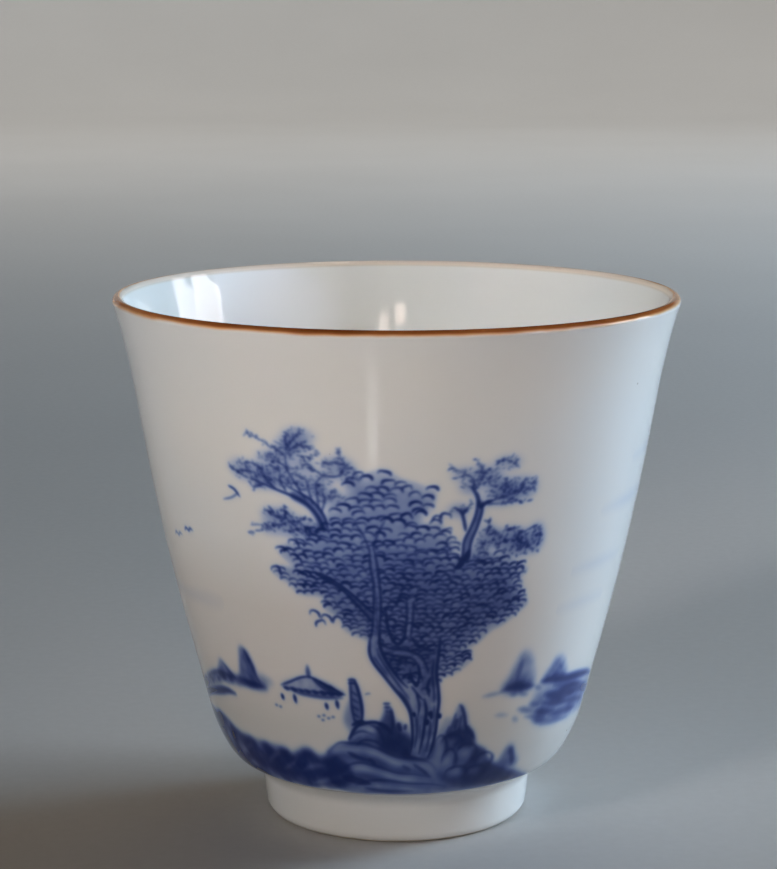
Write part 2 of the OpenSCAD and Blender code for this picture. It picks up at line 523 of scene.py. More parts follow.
def paint_trunk():
    # the left limb, from the crotch up into the crown
    limb(
        [(-3, 26.8), (-2.65, 28.5), (-2.45, 31), (-2.4, 33.5), (-2.7, 35.6), (-2.75, 37.8)],
        [(-1.9, 26.6), (-1.85, 28.6), (-1.7, 31), (-1.75, 33), (-1.95, 35.4), (-2.3, 37.8)],
        body=0.3, ink=0.72, width=0.22, clear=0.62,
    )
    strokes((
        ([(-2.1, 27.6), (-2.15, 30), (-2.1, 33)], 0.14, 0.5),
        ([(-2.4, 37.6), (-1.9, 39.4), (-1.1, 41.2)], 0.18, 0.55),
        ([(-2.7, 37.4), (-3.3, 39.2), (-4.2, 40.8)], 0.18, 0.55),
    ))
    # the long limb to the left
    limb(
        [(-2.7, 29.2), (-3.8, 30.6), (-5.1, 32.2), (-6.2, 33.2), (-8.4, 34.5)],
        [(-2.5, 30.2), (-3.7, 31.4), (-5.1, 32.7), (-6.4, 33.7), (-8.5, 34.7)],
        body=0.6, ink=0.76, width=0.24, clear=0.4,
    )
    # the forked limb in the middle
    limb(
        [(1, 31.6), (1.05, 29.6), (0.8, 27.6)],
        [(1.75, 31.6), (1.7, 29.4), (1.5, 27.4)],
        body=0.3, ink=0.72, width=0.2, clear=0.6,
    )
    strokes((
        ([(-1.2, 30.6), (-0.95, 28.4), (-0.35, 26.9), (0.25, 26.6), (0.8, 27.4), (1, 28.8)], 0.3, 0.82),
        ([(1.5, 27.4), (2.3, 26.4), (3.4, 25.9), (4.4, 25.5)], 0.26, 0.8),
    ))
    # the cross branch
    limb(
        [(-1.8, 26.5), (-0.6, 26), (0.7, 25.9), (1.9, 25.5), (2.8, 24.9), (3.4, 23.8), (3.9, 22.2)],
        [(-1.7, 25.6), (-0.6, 25.2), (0.7, 25), (1.6, 24.8), (2.2, 24.2), (2.8, 22.6), (3.3, 21)],
        body=0.4, ink=0.7, width=0.22, clear=0.7,
    )
    # the trunk
    left = [
        (-3, 26.8), (-3.05, 25.4), (-2.6, 24.2), (-1.5, 22.7), (-0.3, 21.1), (0.8, 19.7), (1.6, 18.2),
        (1.9, 16.5), (2, 14.5), (1.7, 12.9),
    ]
    trunk = left + [
        (4.2, 12.4), (4.6, 14), (4.9, 16), (5, 18), (5.05, 19.6), (4.8, 21.2), (4.6, 23), (4.7, 25),
        (4.1, 25), (3.6, 22.8), (2.2, 21.4), (0.4, 22.4), (-1.1, 24.4), (-1.9, 26.2),
    ]
    lift(trunk, 0.92, 0.2)
    wash(trunk, 0.33, 0.25, 0.5, 0.9)
    stroke(left, 0.28, 0.84, taper=(0.1, 0.15), soft=0.14)
    stroke([(-1.9, 28), (-1.85, 26.2), (-1.3, 24.7), (-0.3, 23.1), (0.6, 21.9), (1.3, 21.2)], 0.3, 0.85)
    stroke([(4.8, 27), (4.7, 25), (4.6, 23), (4.9, 21), (5.1, 19.4), (5, 17.6), (4.9, 15.5), (4.5, 13.4),
            (4.1, 12.4)], 0.3, 0.84, taper=(0.15, 0.15), soft=0.14)
    strokes((
        ([(3.3, 19.8), (3.6, 18.3), (3.5, 17), (3.3, 15), (2.9, 12.9)], 0.3, 0.8),
        ([(2.3, 20.6), (2.7, 19), (2.6, 17.6)], 0.22, 0.75),
        ([(1.7, 21.4), (2.6, 20.2), (3.2, 19.6)], 0.22, 0.7),
        ([(2.5, 24), (2.6, 22.6), (2.3, 21.4), (1.7, 22.4), (1.5, 23.6)], 0.26, 0.85),
        ([(3.9, 22.4), (3.6, 21.2), (3.9, 20)], 0.26, 0.8), ([(4.2, 18.2), (4.3, 17.2)], 0.3, 0.9),
    ))
    strokes((
        ([(2.4, 17.6), (2.55, 15.8), (2.3, 13.6)], 0.26, 0.6),
        ([(4.2, 17), (4.15, 15.2), (3.8, 13.2)], 0.24, 0.6),
        ([(-2.2, 25.9), (-1.9, 24.9), (-0.9, 23.2), (0.4, 21.3), (1.5, 19.8)], 0.22, 0.6),
        ([(-2.6, 25), (-1.9, 23.9), (-0.9, 22.5)], 0.2, 0.5),
        ([(0.2, 20.9), (1.3, 19.4), (2, 17.8)], 0.2, 0.5),
        ([(4.2, 24.6), (4.1, 22.8), (4.4, 20.8), (4.5, 19.2)], 0.24, 0.62),
        ([(2.9, 16.6), (2.9, 14.6)], 0.16, 0.5), ([(4.55, 19), (4.6, 17.4), (4.5, 15.8)], 0.16, 0.5),
    ), soft=0.14)
    for x, z, size in (
        (3.7, 16.9, 0.62), (5.25, 17.6, 0.5), (2.1, 17.9, 0.42), (1.5, 22.5, 0.5), (4, 17.9, 0.34),
    ):
        stroke([(x - 0.1, z + 0.25), (x, z), (x + 0.12, z - 0.3)], size, 0.95, taper=(0.5, 0.5))
    # leaves that show between the limbs
    wash([(-1.5, 25.3), (0.6, 24.9), (1.9, 24.4), (2.4, 22.8), (1.4, 21.8), (0.2, 22.6), (-0.9, 24.1)],
          0.34, 0.3)
    wash([(-1.4, 26.6), (1.6, 26.2), (4, 25.4), (4.5, 22.6), (3.9, 20.4), (2.6, 21), (3, 24.6),
          (0.4, 25.9)], 0.26, 0.4)
    for x, z in ((-0.3, 24.2), (0.8, 24), (0.4, 23), (-1, 25), (3.4, 20.6), (1.4, 28.6), (0, 28.4)):
        leaf(x, z, 1, 0.5, 0.7, 0.22)


def paint_upper_left():
    branch = [
        (-7.2, 39.6), (-7.8, 41.2), (-8.8, 42.5), (-10.2, 43.3), (-11.9, 43.9), (-13.6, 44.5), (-15, 44.9),
    ]
    wash([(-7, 39.6), (-7.3, 41.5), (-8.4, 42.9), (-10.2, 43.8), (-10.4, 43.1), (-8.9, 42.2), (-8, 40.9),
          (-7.7, 39.6)], 0.4, 0.2)
    stroke(branch, 0.3, 0.68, taper=(0.1, 0.6), soft=0.14)
    stroke([(-6.8, 39.8), (-7.2, 41.4), (-8.2, 42.9), (-9.6, 43.8), (-10.6, 44.3)], 0.24, 0.72)
    for twig in (
        [(-7.6, 42), (-7.7, 43.6), (-7.7, 45), (-6.9, 45.9), (-6.1, 46.4)],
        [(-7.4, 41.6), (-7, 43.2), (-7.5, 44.6)], [(-8.2, 42.6), (-8.5, 44), (-8.7, 45.4)],
        [(-8.9, 43), (-9.9, 44.9), (-10.6, 46.4), (-10.6, 47.8), (-10.3, 49)],
        [(-10.9, 43.8), (-11.4, 45), (-11.3, 46.2)], [(-12, 44), (-13, 45.1), (-13.3, 46.4)],
        [(-6.9, 45.9), (-6, 45.8), (-5.2, 46.2), (-4.9, 47.6)],
    ):
        stroke(twig, 0.15, 0.58, taper=(0.1, 0.6), soft=0.12)
    sprays((
        [(-10.3, 48.4), (-9.2, 49.2), (-7.6, 48.7)], [(-10.3, 48.8), (-9.6, 50), (-8.8, 50.9)],
        [(-10.4, 48.6), (-10.5, 49.8), (-10, 50.8)], [(-10.6, 47.6), (-11.6, 48.6), (-12.4, 48.6)],
        [(-10.7, 46.6), (-12, 47.4), (-13, 47.7)], [(-13.3, 46.2), (-14.4, 46.6), (-15.8, 46.4)],
        [(-13, 45.2), (-14.4, 45.6), (-16, 45.6)], [(-15, 44.9), (-16.2, 45.4), (-17.2, 46.2)],
        [(-5, 47.2), (-6.2, 47.4), (-7.2, 47.2)], [(-4.9, 47.4), (-5.4, 48.4), (-5.4, 49)],
        [(-5.4, 46.2), (-4.4, 46.8), (-3.8, 46.2)], [(-7, 45.9), (-8.2, 46.8), (-8.8, 47.4)],
        [(-8.6, 45.2), (-9.6, 45.8), (-9.4, 46.8)], [(-11.4, 46), (-12.2, 46.6), (-12, 47.2)],
        [(-13.2, 44.4), (-14.2, 43.9), (-14.8, 43.9)], [(-12.4, 49), (-13.6, 49.6), (-14.7, 50)],
        [(-10.9, 44.6), (-9.8, 44.8), (-9.4, 44.2)], [(-9.4, 48), (-8.2, 47.9), (-7.2, 48.4)],
    ), ink=0.44, width=0.12, gap=0.16)
    tufts((
        (-10.8, 47.9, 1.6, 1.2, 9), (-9.2, 50, 2.2, 1.4, 9), (-12.6, 47.4, 1.8, 0.9, 8),
        (-13.6, 45.8, 2.4, 1.2, 14), (-15.6, 45.8, 2, 1.6, 8), (-5.6, 46.8, 2.2, 1.8, 16),
        (-10.8, 46.4, 1, 0.8, 7), (-11.8, 44.6, 1.6, 0.7, 8), (-8.9, 46.8, 1.4, 1.4, 5),
        (-7.2, 45.4, 1.6, 0.9, 8), (-4.2, 45.4, 1.4, 1, 5),
    ), 1.4, 1.35, 2.2, 0.45, 0.09, 0.15)
    # looser leaves below the branch
    strokes((
        ([(-17.6, 43.6), (-16.9, 43.3), (-16.3, 42.5)], 0.24, 0.6),
        ([(-16.5, 42.9), (-17.4, 42.3), (-18.6, 41.9)], 0.2, 0.4), ([(-13, 41.9), (-12.4, 41.2)], 0.2, 0.5),
    ))
    sprays((
        [(-13.4, 41.4), (-12.2, 40.9), (-10.8, 41.2)], [(-12.9, 39.6), (-11.6, 40), (-10.4, 40.6)],
        [(-11.2, 42.2), (-11.2, 41.2), (-11.4, 40.4)], [(-10.6, 40.2), (-9.6, 40.6), (-8.6, 40.9)],
        [(-11, 39.2), (-9.8, 39.6), (-8.8, 39)], [(-9.6, 40.2), (-8.6, 39.4), (-7.8, 39.6)],
    ), ink=0.6)
    sprays((
        [(-15.9, 38.5), (-14.4, 38.9), (-12.8, 39.5)], [(-15.4, 39.4), (-14.2, 39.6), (-13.2, 39.9)],
    ), ink=0.32)
    tufts((
        (-6.4, 43.4, 2.2, 1.4, 18), (-11.9, 40.7, 3.2, 1.5, 24), (-9.6, 39.5, 3.2, 1.7, 26),
        (-12.6, 39.3, 2.2, 0.9, 8), (-12, 45.6, 3, 1.4, 20), (-9.6, 44.9, 2.4, 1.2, 14),
        (-13.4, 44.6, 2.4, 0.9, 14), (-7.9, 44.2, 1.8, 1.2, 12), (-10, 49, 2.6, 1.4, 14),
    ), 1.25, 1.25, 1.7, 0.46, 0.1, 0.18)


def paint_upper_right():
    limb(
        [(5.9, 35.2), (6.6, 36.6), (6.7, 38.4), (7.3, 40), (7.75, 41.6), (7.8, 43)],
        [(7.3, 36.3), (7.4, 38.2), (7.95, 40), (8.3, 41.6), (8.3, 42.8)],
        body=0.6, ink=0.72, width=0.22, clear=0.3,
    )
    stroke([(8, 42.4), (7.7, 43.6), (7.1, 44.5)], 0.36, 0.72, taper=(0.1, 0.5))
    stroke([(8.1, 42.2), (8.7, 42.7), (9.4, 42.9)], 0.4, 0.72, taper=(0.1, 0.4))
    strokes((
        ([(6.2, 35.3), (6.9, 36.4), (7.3, 37.4)], 0.5, 0.8),
        ([(6.8, 39.6), (6.5, 41), (6.2, 41.8), (5.5, 42.4)], 0.26, 0.78),
        ([(6.4, 41.4), (6.9, 42.4)], 0.16, 0.6),
    ))
    sprays((
        [(7.2, 44.4), (7.3, 45.4), (6.4, 46.1), (5.1, 46.9)], [(7.5, 44.2), (8.2, 45.6), (8.6, 46.4)],
        [(8.4, 46), (7.8, 47), (7.3, 47.8)], [(9.4, 46.9), (10.3, 47.4), (11.7, 46.7)],
        [(6.3, 41.7), (7, 42.4), (7.2, 42.8)], [(8.8, 42.6), (10.2, 42.5), (11.8, 42.6), (13.2, 42.4)],
        [(9.4, 42.9), (11, 43.4), (12.4, 44.2)], [(10.4, 43.6), (10.7, 44.8), (10.6, 45.4)],
        [(11.8, 43.2), (12.5, 44.2), (12.6, 45)], [(12.4, 43.6), (13.4, 43.9), (14, 43.7)],
        [(12.9, 44.6), (13.6, 44.4), (13.6, 45)],
    ), ink=0.46, width=0.12, gap=0.16)
    tufts((
        (12, 44, 3.2, 2, 32), (10.2, 43.5, 2.8, 1.8, 22), (8.6, 45.8, 1.8, 1.4, 14),
        (6.6, 46, 2.2, 0.9, 10), (10.6, 47, 2.2, 1, 12), (5.9, 42, 1.5, 1, 10), (9.4, 45, 2, 1.2, 10),
        (6.9, 44.6, 1.4, 1, 8),
    ), 1.25, 1.25, 1.7, 0.46, 0.1, 0.18)
    # looser leaves on the crown's right shoulder
    sprays((
        [(10, 37.6), (11.2, 38.2), (12.6, 38)], [(12.3, 38.3), (13.4, 37.5), (14.6, 36.6)],
        [(11, 39.5), (12, 39.4), (12.8, 39)], [(9, 39), (9.2, 40), (9, 40.7)],
        [(13.4, 39), (14.4, 39.4), (15.2, 38.6)], [(14.4, 38.4), (15.2, 38), (14.9, 37.2)],
    ), ink=0.5)
    tufts((
        (9.2, 38.7, 2, 2.4, 20), (11.4, 38.3, 3.2, 2, 30), (13, 38, 2.2, 1.8, 22), (14.6, 38, 1.8, 3, 14),
        (8.4, 37, 1.4, 2.4, 12), (12.4, 36.8, 3, 1, 16),
    ), 1.1, 1.1, 1.6, 0.54, 0.11, 0.22)
    for x, z in ((5.4, 38.4), (4.9, 39.4), (3.9, 40.9), (4.9, 37.3)):
        leaf(x, z, 0.95, 0.6, 0.6, 0.2)


# ------------------------------------------------------------------ ground, rocks and shrubs
# The bank is gone at the lower of these heights, and whole from the higher one up
FADE_LOW = 6.2
FADE_HIGH = 8.1


def boulder(x, z, wide, high):
    """A rounded stone: pale in the middle, lined over its crown, and in shade down its right side."""
    lift(oval(x - 0.06 * wide, z, 0.66 * wide, 0.6 * high), 0.3, feather=0.6)
    crown = oval(x, z, wide, high, (3.3, 2.7, 2.1, 1.5, 0.9, 0.3, -0.3))
    stroke(crown, 0.24, 0.44, taper=(0.3, 0.4), soft=0.3)
    shade = oval(x, z, wide, high, (0.7, 0.1, -0.5, -1.1))
    stroke(shade, 0.6, 0.32, taper=(0.4, 0.5), soft=0.6)


def paint_ground():
    # the bank that runs away round the left side
    wash([(-50, 9.4), (-44, 11.4), (-38, 12.8), (-33, 13.6), (-29.6, 14), (-27.4, 13.6), (-25.2, 12.7),
          (-22, 12.5), (-18.6, 12.4), (-15.9, 12.2), (-14.8, 11.5), (-13.8, 12), (-12.4, 12.8),
          (-11.2, 12.2), (-10.2, 11.9), (-8.4, 12.6), (-6, 10.2), (-7.6, 8.2), (-12, 7.5), (-18, 7.1),
          (-26, 6.9), (-36, 7.2), (-46, 8.2)], 0.54, 0.6, 0.5, 1.6)
    wash([(-24, 11.9), (-20, 11.6), (-15.2, 11.8), (-12.4, 12.2), (-9.6, 11.6), (-6.8, 10.8), (-7, 9.2),
          (-11, 8.7), (-17, 8.6), (-23, 8.9)], 0.4, 1, 0.5, 1.4)
    for x, z, wide, high, ink in (
        (-16, 11.2, 1.6, 2.2, 0.5), (-12.2, 12, 2.2, 1.5, 0.5), (-9.4, 11.4, 2.6, 1.3, 0.45),
        (-19, 11.2, 1.8, 2, 0.4), (-22.4, 11.4, 2, 1.8, 0.4), (-26, 11.8, 2.4, 2, 0.42),
        (-29.6, 12.6, 2.6, 1.9, 0.42), (-34, 12.2, 3.6, 1.8, 0.4), (-13.8, 10.4, 2.6, 1.2, 0.4),
        (-10.6, 9.6, 2.4, 1.3, 0.4), (-17.4, 9.4, 3, 1.2, 0.38), (-21.6, 9.6, 2.4, 1.4, 0.34),
        (-7.6, 10.6, 1.8, 1.6, 0.4), (-15, 8.8, 3.4, 0.9, 0.35), (-9, 8.8, 3, 0.9, 0.35),
        (-25, 9.4, 3, 1.4, 0.3),
    ):
        wash(oval(x, z, wide, high), 0.85 * ink, feather=0.8, mottle=0.6, size=0.8)
    strokes((
        ([(-9.8, 10.9), (-12, 10.5), (-14, 9.6)], 0.7, 0.3),
        ([(-6.4, 9.9), (-9.2, 9.2), (-12.8, 8)], 0.8, 0.4),
        ([(-17.2, 11.4), (-18.8, 10.6), (-20, 9.6)], 0.6, 0.3),
        ([(-14.2, 11.2), (-15.2, 10.4), (-17.4, 9.2)], 0.5, 0.3),
        ([(-22.4, 11.6), (-24.4, 10.6), (-26.4, 9.6)], 0.7, 0.3),
        ([(-29, 12.6), (-31.4, 11.4), (-34, 10.6)], 0.8, 0.3),
    ), taper=(0.4, 0.5), soft=0.6, lift=True)
    # the mound that the tree stands on
    wash([(-9.4, 12.6), (-7.6, 13.9), (-6, 14.4), (-5.4, 16), (-4.6, 16.7), (-3, 16.9), (-1.8, 16.6),
          (-0.4, 16.2), (1.5, 14.8), (4.4, 14), (5.6, 14.8), (7, 15.4), (9.5, 15.2), (10.4, 13.8),
          (12, 12.6), (12.8, 11.2), (14.6, 10.2), (19, 8.6), (24, 6.7), (20, 6.3), (12, 6.9), (6, 6.9),
          (0, 6.8), (-6, 7), (-9.6, 8.6)], 0.4, 0.4, 0.3, 2)
    wash([(-6.8, 13.6), (-4.4, 14.1), (-2, 14), (0.2, 12.8), (-0.6, 15.2), (-2.2, 16.2), (-3.6, 15.2),
          (-5.4, 14.8)], 0.16, 0.6, 0.4, 0.9)
    lift([(-5.4, 15.4), (-4.8, 16.3), (-3, 16.4), (-2.2, 15.8), (-3.4, 15.5), (-4.6, 15.2), (-5.6, 14.6)],
          0.45, 0.3)
    for points in (
        [(-6.2, 14.2), (-5.6, 15.2), (-4.4, 15.7), (-3, 15.4)],
        [(-5.2, 13.9), (-4.2, 14.6), (-2.8, 14.5), (-1.8, 13.9)],
        [(-3.4, 16.6), (-2.4, 16.1), (-1.8, 15), (-1.6, 13.8)],
    ):
        stroke(points, 0.26, 0.5, soft=0.3)
    # hollows behind the tree and to its right
    wash([(-2.2, 16.4), (-1.7, 17.4), (-1, 18.2), (-0.4, 17.3), (0.5, 16.9), (1.7, 15.8), (1.8, 12.9),
          (0.2, 12.6), (-1.6, 13.6), (-2.8, 14.4), (-2.4, 15.4)], 0.3, 0.5, 0.4, 0.9)
    wash([(-1.4, 15.7), (0.4, 15.8), (1.7, 15), (1.8, 12.9), (0.2, 12.8), (-2.2, 13.6)], 0.5, 0.5, 0.4, 0.9)
    wash([(1, 13.4), (2.6, 13.6), (4.6, 13.2), (4.2, 12.2), (2.4, 12.1), (0.8, 12.5)], 0.6, 0.5, 0.2)
    wash([(6.6, 15.4), (8.2, 15.9), (9.7, 15.3), (10.4, 13.9), (9.6, 13.3), (8.4, 13.9), (7.4, 13.1),
          (6.2, 14)], 0.5, 0.5, 0.4, 0.9)
    wash([(10.2, 12.9), (11.9, 12.7), (12.9, 11.3), (14.6, 10.3), (12.6, 9.5), (9.8, 9.4), (8.9, 10.7),
          (10, 11.5)], 0.5, 0.6, 0.4, 0.9)
    wash([(4.8, 10.8), (7, 9.9), (10, 9.9), (14, 9.8), (17, 9.4), (20, 8.1), (23, 6.7), (18, 6.8),
          (13, 7.8), (8.4, 8.2)], 0.46, 0.8, 0.4, 1.4)
    # stones that lean on one another, from the back to the front
    for x, z, wide, high in (
        (7.2, 14.1, 2.8, 2), (5.7, 13.4, 1.7, 3.4), (9.4, 12.6, 2.9, 2.3), (7, 11.8, 2, 3),
        (12.2, 11.4, 2.6, 1.9), (11.2, 9.9, 3.2, 1.7), (8.3, 10, 3.2, 1.9),
    ):
        boulder(x, z, wide, high)
    # ridges: a pale crest with a line along its top and a hollow under it
    for ridge, pale in (
        ([(-9.2, 12.6), (-7.6, 13.9), (-6, 14), (-4.2, 14), (-2.4, 13.5), (0, 12.5), (2.6, 12.2),
         (4.4, 11.6), (5.4, 10.6)], 0.5),
        ([(-7.8, 10.2), (-6.4, 11.2), (-4.8, 11.6), (-2.6, 11.2), (0, 10.4), (2.6, 10.1), (4.8, 9.7)], 0.5),
        ([(-6, 8.4), (-3.8, 9.2), (-1.4, 9.3), (1.6, 8.9), (4.6, 8.7), (7.2, 8.2)], 0.4),
    ):
        crest = np.array(ridge)
        stroke(crest - [0.1, 0.7], 0.9, 0.8 * pale, taper=(0.4, 0.5), soft=1.1, lift=True)
        stroke(crest - [0.2, 1.6], 0.8, 0.3, taper=(0.5, 0.5), soft=1.1)
        stroke(crest + [0, 0.1], 0.3, 0.5, taper=(0.3, 0.6), soft=0.35)
    strokes((
        ([(-6.4, 12.9), (-5, 12.3), (-3.2, 11.9)], 0.5, 0.5), ([(-3.6, 12.2), (-2.8, 11.5)], 0.5, 0.5),
        ([(-7.6, 9.6), (-5.6, 9.2), (-3.8, 8.9)], 0.9, 0.55),
        ([(2.2, 11.6), (3.4, 10.8), (4.6, 9.8)], 0.35, 0.45),
        ([(-4.6, 8.2), (-1.6, 7.8), (2.4, 7.8)], 0.5, 0.3), ([(0.8, 11.4), (1.8, 10.8)], 0.4, 0.3),
    ), soft=0.4)
    # the bank and the mound fade out just above the foot
    z = BOTTOM + CELL * np.arange(ROWS)
    layer[:] *= smooth((z - FADE_LOW) / (FADE_HIGH - FADE_LOW))[:, None].astype(np.float32)
    strokes((
        ([(-6.2, 14.6), (-5.2, 16.1), (-4.4, 16.6), (-2.9, 16.9), (-1.8, 16.6), (-0.8, 15.8)], 0.34, 0.75),
        ([(-5.6, 16.4), (-4.6, 16.9), (-3.9, 16.9)], 0.4, 0.7),
    ), soft=0.15)


def paint_shrubs():
    # the pointed bush left of the trunk
    wash([(-1.4, 19), (-0.9, 18.9), (-0.6, 17.8), (-0.2, 16.8), (0.4, 16), (-2.6, 15.8), (-2, 17),
          (-1.6, 18)], 0.42, 0.35)
    strokes((
        ([(-1.6, 19.25), (-0.8, 19.25)], 0.24, 0.6), ([(-1.5, 18.8), (-0.7, 18.8)], 0.22, 0.5),
        ([(-1.4, 18.3), (-0.6, 18.2)], 0.2, 0.4), ([(-0.7, 18.6), (-0.5, 17.2), (-0.6, 15.8)], 0.4, 0.6),
        ([(-2.2, 16.8), (-1.2, 16.2), (-0.6, 15.4)], 0.5, 0.6), ([(0.2, 16.8), (0.5, 15.8)], 0.5, 0.6),
        ([(1.1, 16.6), (1, 16)], 0.4, 0.5),
    ), soft=0.2)
    # the pointed bush right of the trunk
    wash([(7.8, 18.8), (8.3, 18.4), (8.8, 17.2), (9.2, 16), (9.9, 15), (6.4, 15), (6.9, 16.4), (7.3, 17.8)],
          0.3, 0.5, 0.5, 0.8)
    wash([(5.4, 16), (6.2, 17.4), (7.2, 16.6), (7, 15), (5.2, 14.9)], 0.16, 0.5)
    strokes((
        ([(7.75, 18.8), (8.1, 18.4), (8.5, 17.4), (8.8, 16.2), (9.2, 15)], 0.34, 0.6),
        ([(8.1, 17.4), (8, 16.2), (8.1, 15.2)], 0.3, 0.4), ([(6.7, 16.2), (6.4, 15.2)], 0.3, 0.35),
        ([(7.4, 17.8), (7.1, 16.4), (6.8, 15.4)], 0.3, 0.4), ([(7.6, 17), (7.4, 15.8)], 0.5, 0.5),
        ([(8.9, 16), (9.6, 15.2), (10.2, 14.4)], 0.5, 0.55),
    ), soft=0.3)
    # the small one beyond it
    wash([(15.9, 12.7), (16.6, 12.2), (17.2, 11.2), (18.4, 9.8), (14.4, 9.8), (15, 11.4)], 0.36, 0.8)
    stroke([(16.2, 12.3), (16.8, 11.3), (17.4, 10)], 0.7, 0.42, soft=0.7)


def paint_pavilion():
    eave = 20.15
    wash([(-10.6, 22), (-14.6, eave), (-6.3, eave)], 0.17, 0.35, 0.5, 0.7)
    wash([(-10.3, 21.8), (-8.4, 21.2), (-6.4, eave), (-8.2, eave), (-9.4, 20.8)], 0.3, 0.35, 0.5, 0.7)
    strokes((
        ([(-10.6, 22), (-11.8, 21.7), (-13.3, 21), (-14.7, 20.4)], 0.22, 0.74),
        ([(-10.6, 22), (-9.5, 21.6), (-8, 20.9), (-6.2, 20.1)], 0.24, 0.8),
    ), soft=0.16)
    stroke([(-10.6, 23.4), (-10.62, 22.8), (-10.6, 21.9)], 0.5, 0.5, taper=(0.6, 0.1), soft=0.4)
    for x, drop in ((-10, 0), (-9.4, 0.12), (-8.8, 0.3), (-8.1, 0.4)):
        rib = [(x, 21.6 - drop), (x + 0.9, 20.9 - drop), (x + 1.7, 20.3 - 0.5 * drop)]
        stroke(rib, 0.18, 0.62, soft=0.16)
    for x, width in (
        (-13.8, 0.34), (-12.8, 0.44), (-11.8, 0.3), (-10.9, 0.36), (-9.9, 0.4), (-8.9, 0.5), (-7.9, 0.5),
        (-7, 0.4),
    ):
        edge = [(x - 0.55, eave + 0.1), (x, eave - 0.05), (x + 0.5, eave)]
        stroke(edge, 1.1 * width, 0.72, taper=(0.4, 0.5), soft=0.28)
    stroke([(-12.8, 19.85), (-9.6, 19.65), (-6.6, 19.7)], 0.5, 0.5, soft=0.4)
    for x, low, high in ((-14.7, 18.6, 19.3), (-12.9, 18.4, 19.5), (-8.7, 18.1, 18.9), (-7.3, 18.3, 19.4)):
        stroke([(x - 0.06, high), (x + 0.06, low)], 0.4, 0.8, taper=(0.4, 0.5), soft=0.28)
    for x, z in (
        (-15.9, 17.7), (-15.3, 17.6), (-9.9, 17.1), (-9.2, 17.3), (-8.6, 17), (-9.4, 16.7), (-8, 17.2),
    ):
        stroke([(x - 0.2, z), (x + 0.2, z + 0.06)], 0.24, 0.42, soft=0.24)
    # the split post beside it
    wash([(-5.5, 22), (-4.9, 22), (-4.5, 20.8), (-4.2, 18.8), (-4.3, 16.7), (-5.3, 16.7), (-5.6, 18.4)],
          0.36, 0.25)
    wash([(-5.5, 19.4), (-6.2, 18.4), (-6.6, 16.6), (-5.4, 15.4), (-5.2, 17.4)], 0.22, 0.6)
    stroke([(-5.5, 21.9), (-5.5, 20.4), (-5.5, 18.8), (-5.25, 16.8)], 0.26, 0.6, soft=0.18)
    stroke([(-4.95, 22), (-4.6, 20.8), (-4.3, 19.2), (-4.25, 17.8), (-4.45, 16.7)], 0.34, 0.76, soft=0.2)
    for z in (22, 21.6):
        stroke([(-5.7, z), (-5.2, z + 0.05), (-4.8, z)], 0.26, 0.66, soft=0.2)
    for z in (20.6, 19.7, 18.8, 17.9, 17.2):
        stroke([(-5.4, z), (-4.9, z - 0.35), (-4.5, z - 0.5)], 0.22, 0.5, soft=0.2)
    stroke([(-3.8, 20.3), (-3.4, 20.45), (-3.1, 20.4)], 0.2, 0.3, soft=0.2)


# ------------------------------------------------------------------ distant shores, sky and back
def paint_far_left():
    wash([(-20, 24.2), (-19.2, 23.8), (-18.6, 22.4), (-18.2, 20.8), (-17.6, 19.6), (-21.6, 19.5),
          (-21.2, 21), (-20.7, 22.6), (-20.4, 23.8)], 0.42, 0.5, 0.4, 0.9)
    wash([(-19.6, 23.4), (-18.8, 22.4), (-18.4, 20.6), (-19.4, 20.2), (-19.8, 21.8)], 0.26, 0.6, 0.5, 0.9)
    wash([(-24.9, 21.5), (-24, 21), (-23, 20.2), (-22.4, 19.6), (-26.4, 19.3), (-25.8, 20.6)], 0.42, 0.6,
          0.4, 0.9)
    wash([(-16.8, 19.9), (-18.6, 20.2), (-22, 20.1), (-25, 20.1), (-28, 19.4), (-33, 17.4), (-36, 15.8),
          (-31, 17), (-26, 18.7), (-21, 19.2), (-17.8, 19.3)], 0.5, 0.6, 0.5, 0.8)
    stroke([(-23.4, 17.7), (-25.2, 17.7), (-28, 17.1), (-32, 16), (-36, 14.6)], 0.9, 0.66, taper=(0.3, 0.7),
            soft=0.7)
    wash([(-17.8, 21.2), (-16.2, 20.8), (-15.8, 20.3), (-18, 20)], 0.18, 0.7)
    strokes((
        ([(-19.6, 23.8), (-18.9, 22.4), (-18.4, 20.8), (-17.8, 19.9)], 0.5, 0.34),
        ([(-17.6, 19.7), (-21, 19.9)], 0.5, 0.36),
        ([(-24.6, 21.2), (-23.4, 20.3), (-22.4, 19.8)], 0.5, 0.3),
        ([(-22.4, 19.8), (-26.4, 19.7), (-30, 18.6)], 0.5, 0.34),
    ), taper=(0.3, 0.4), soft=0.5)


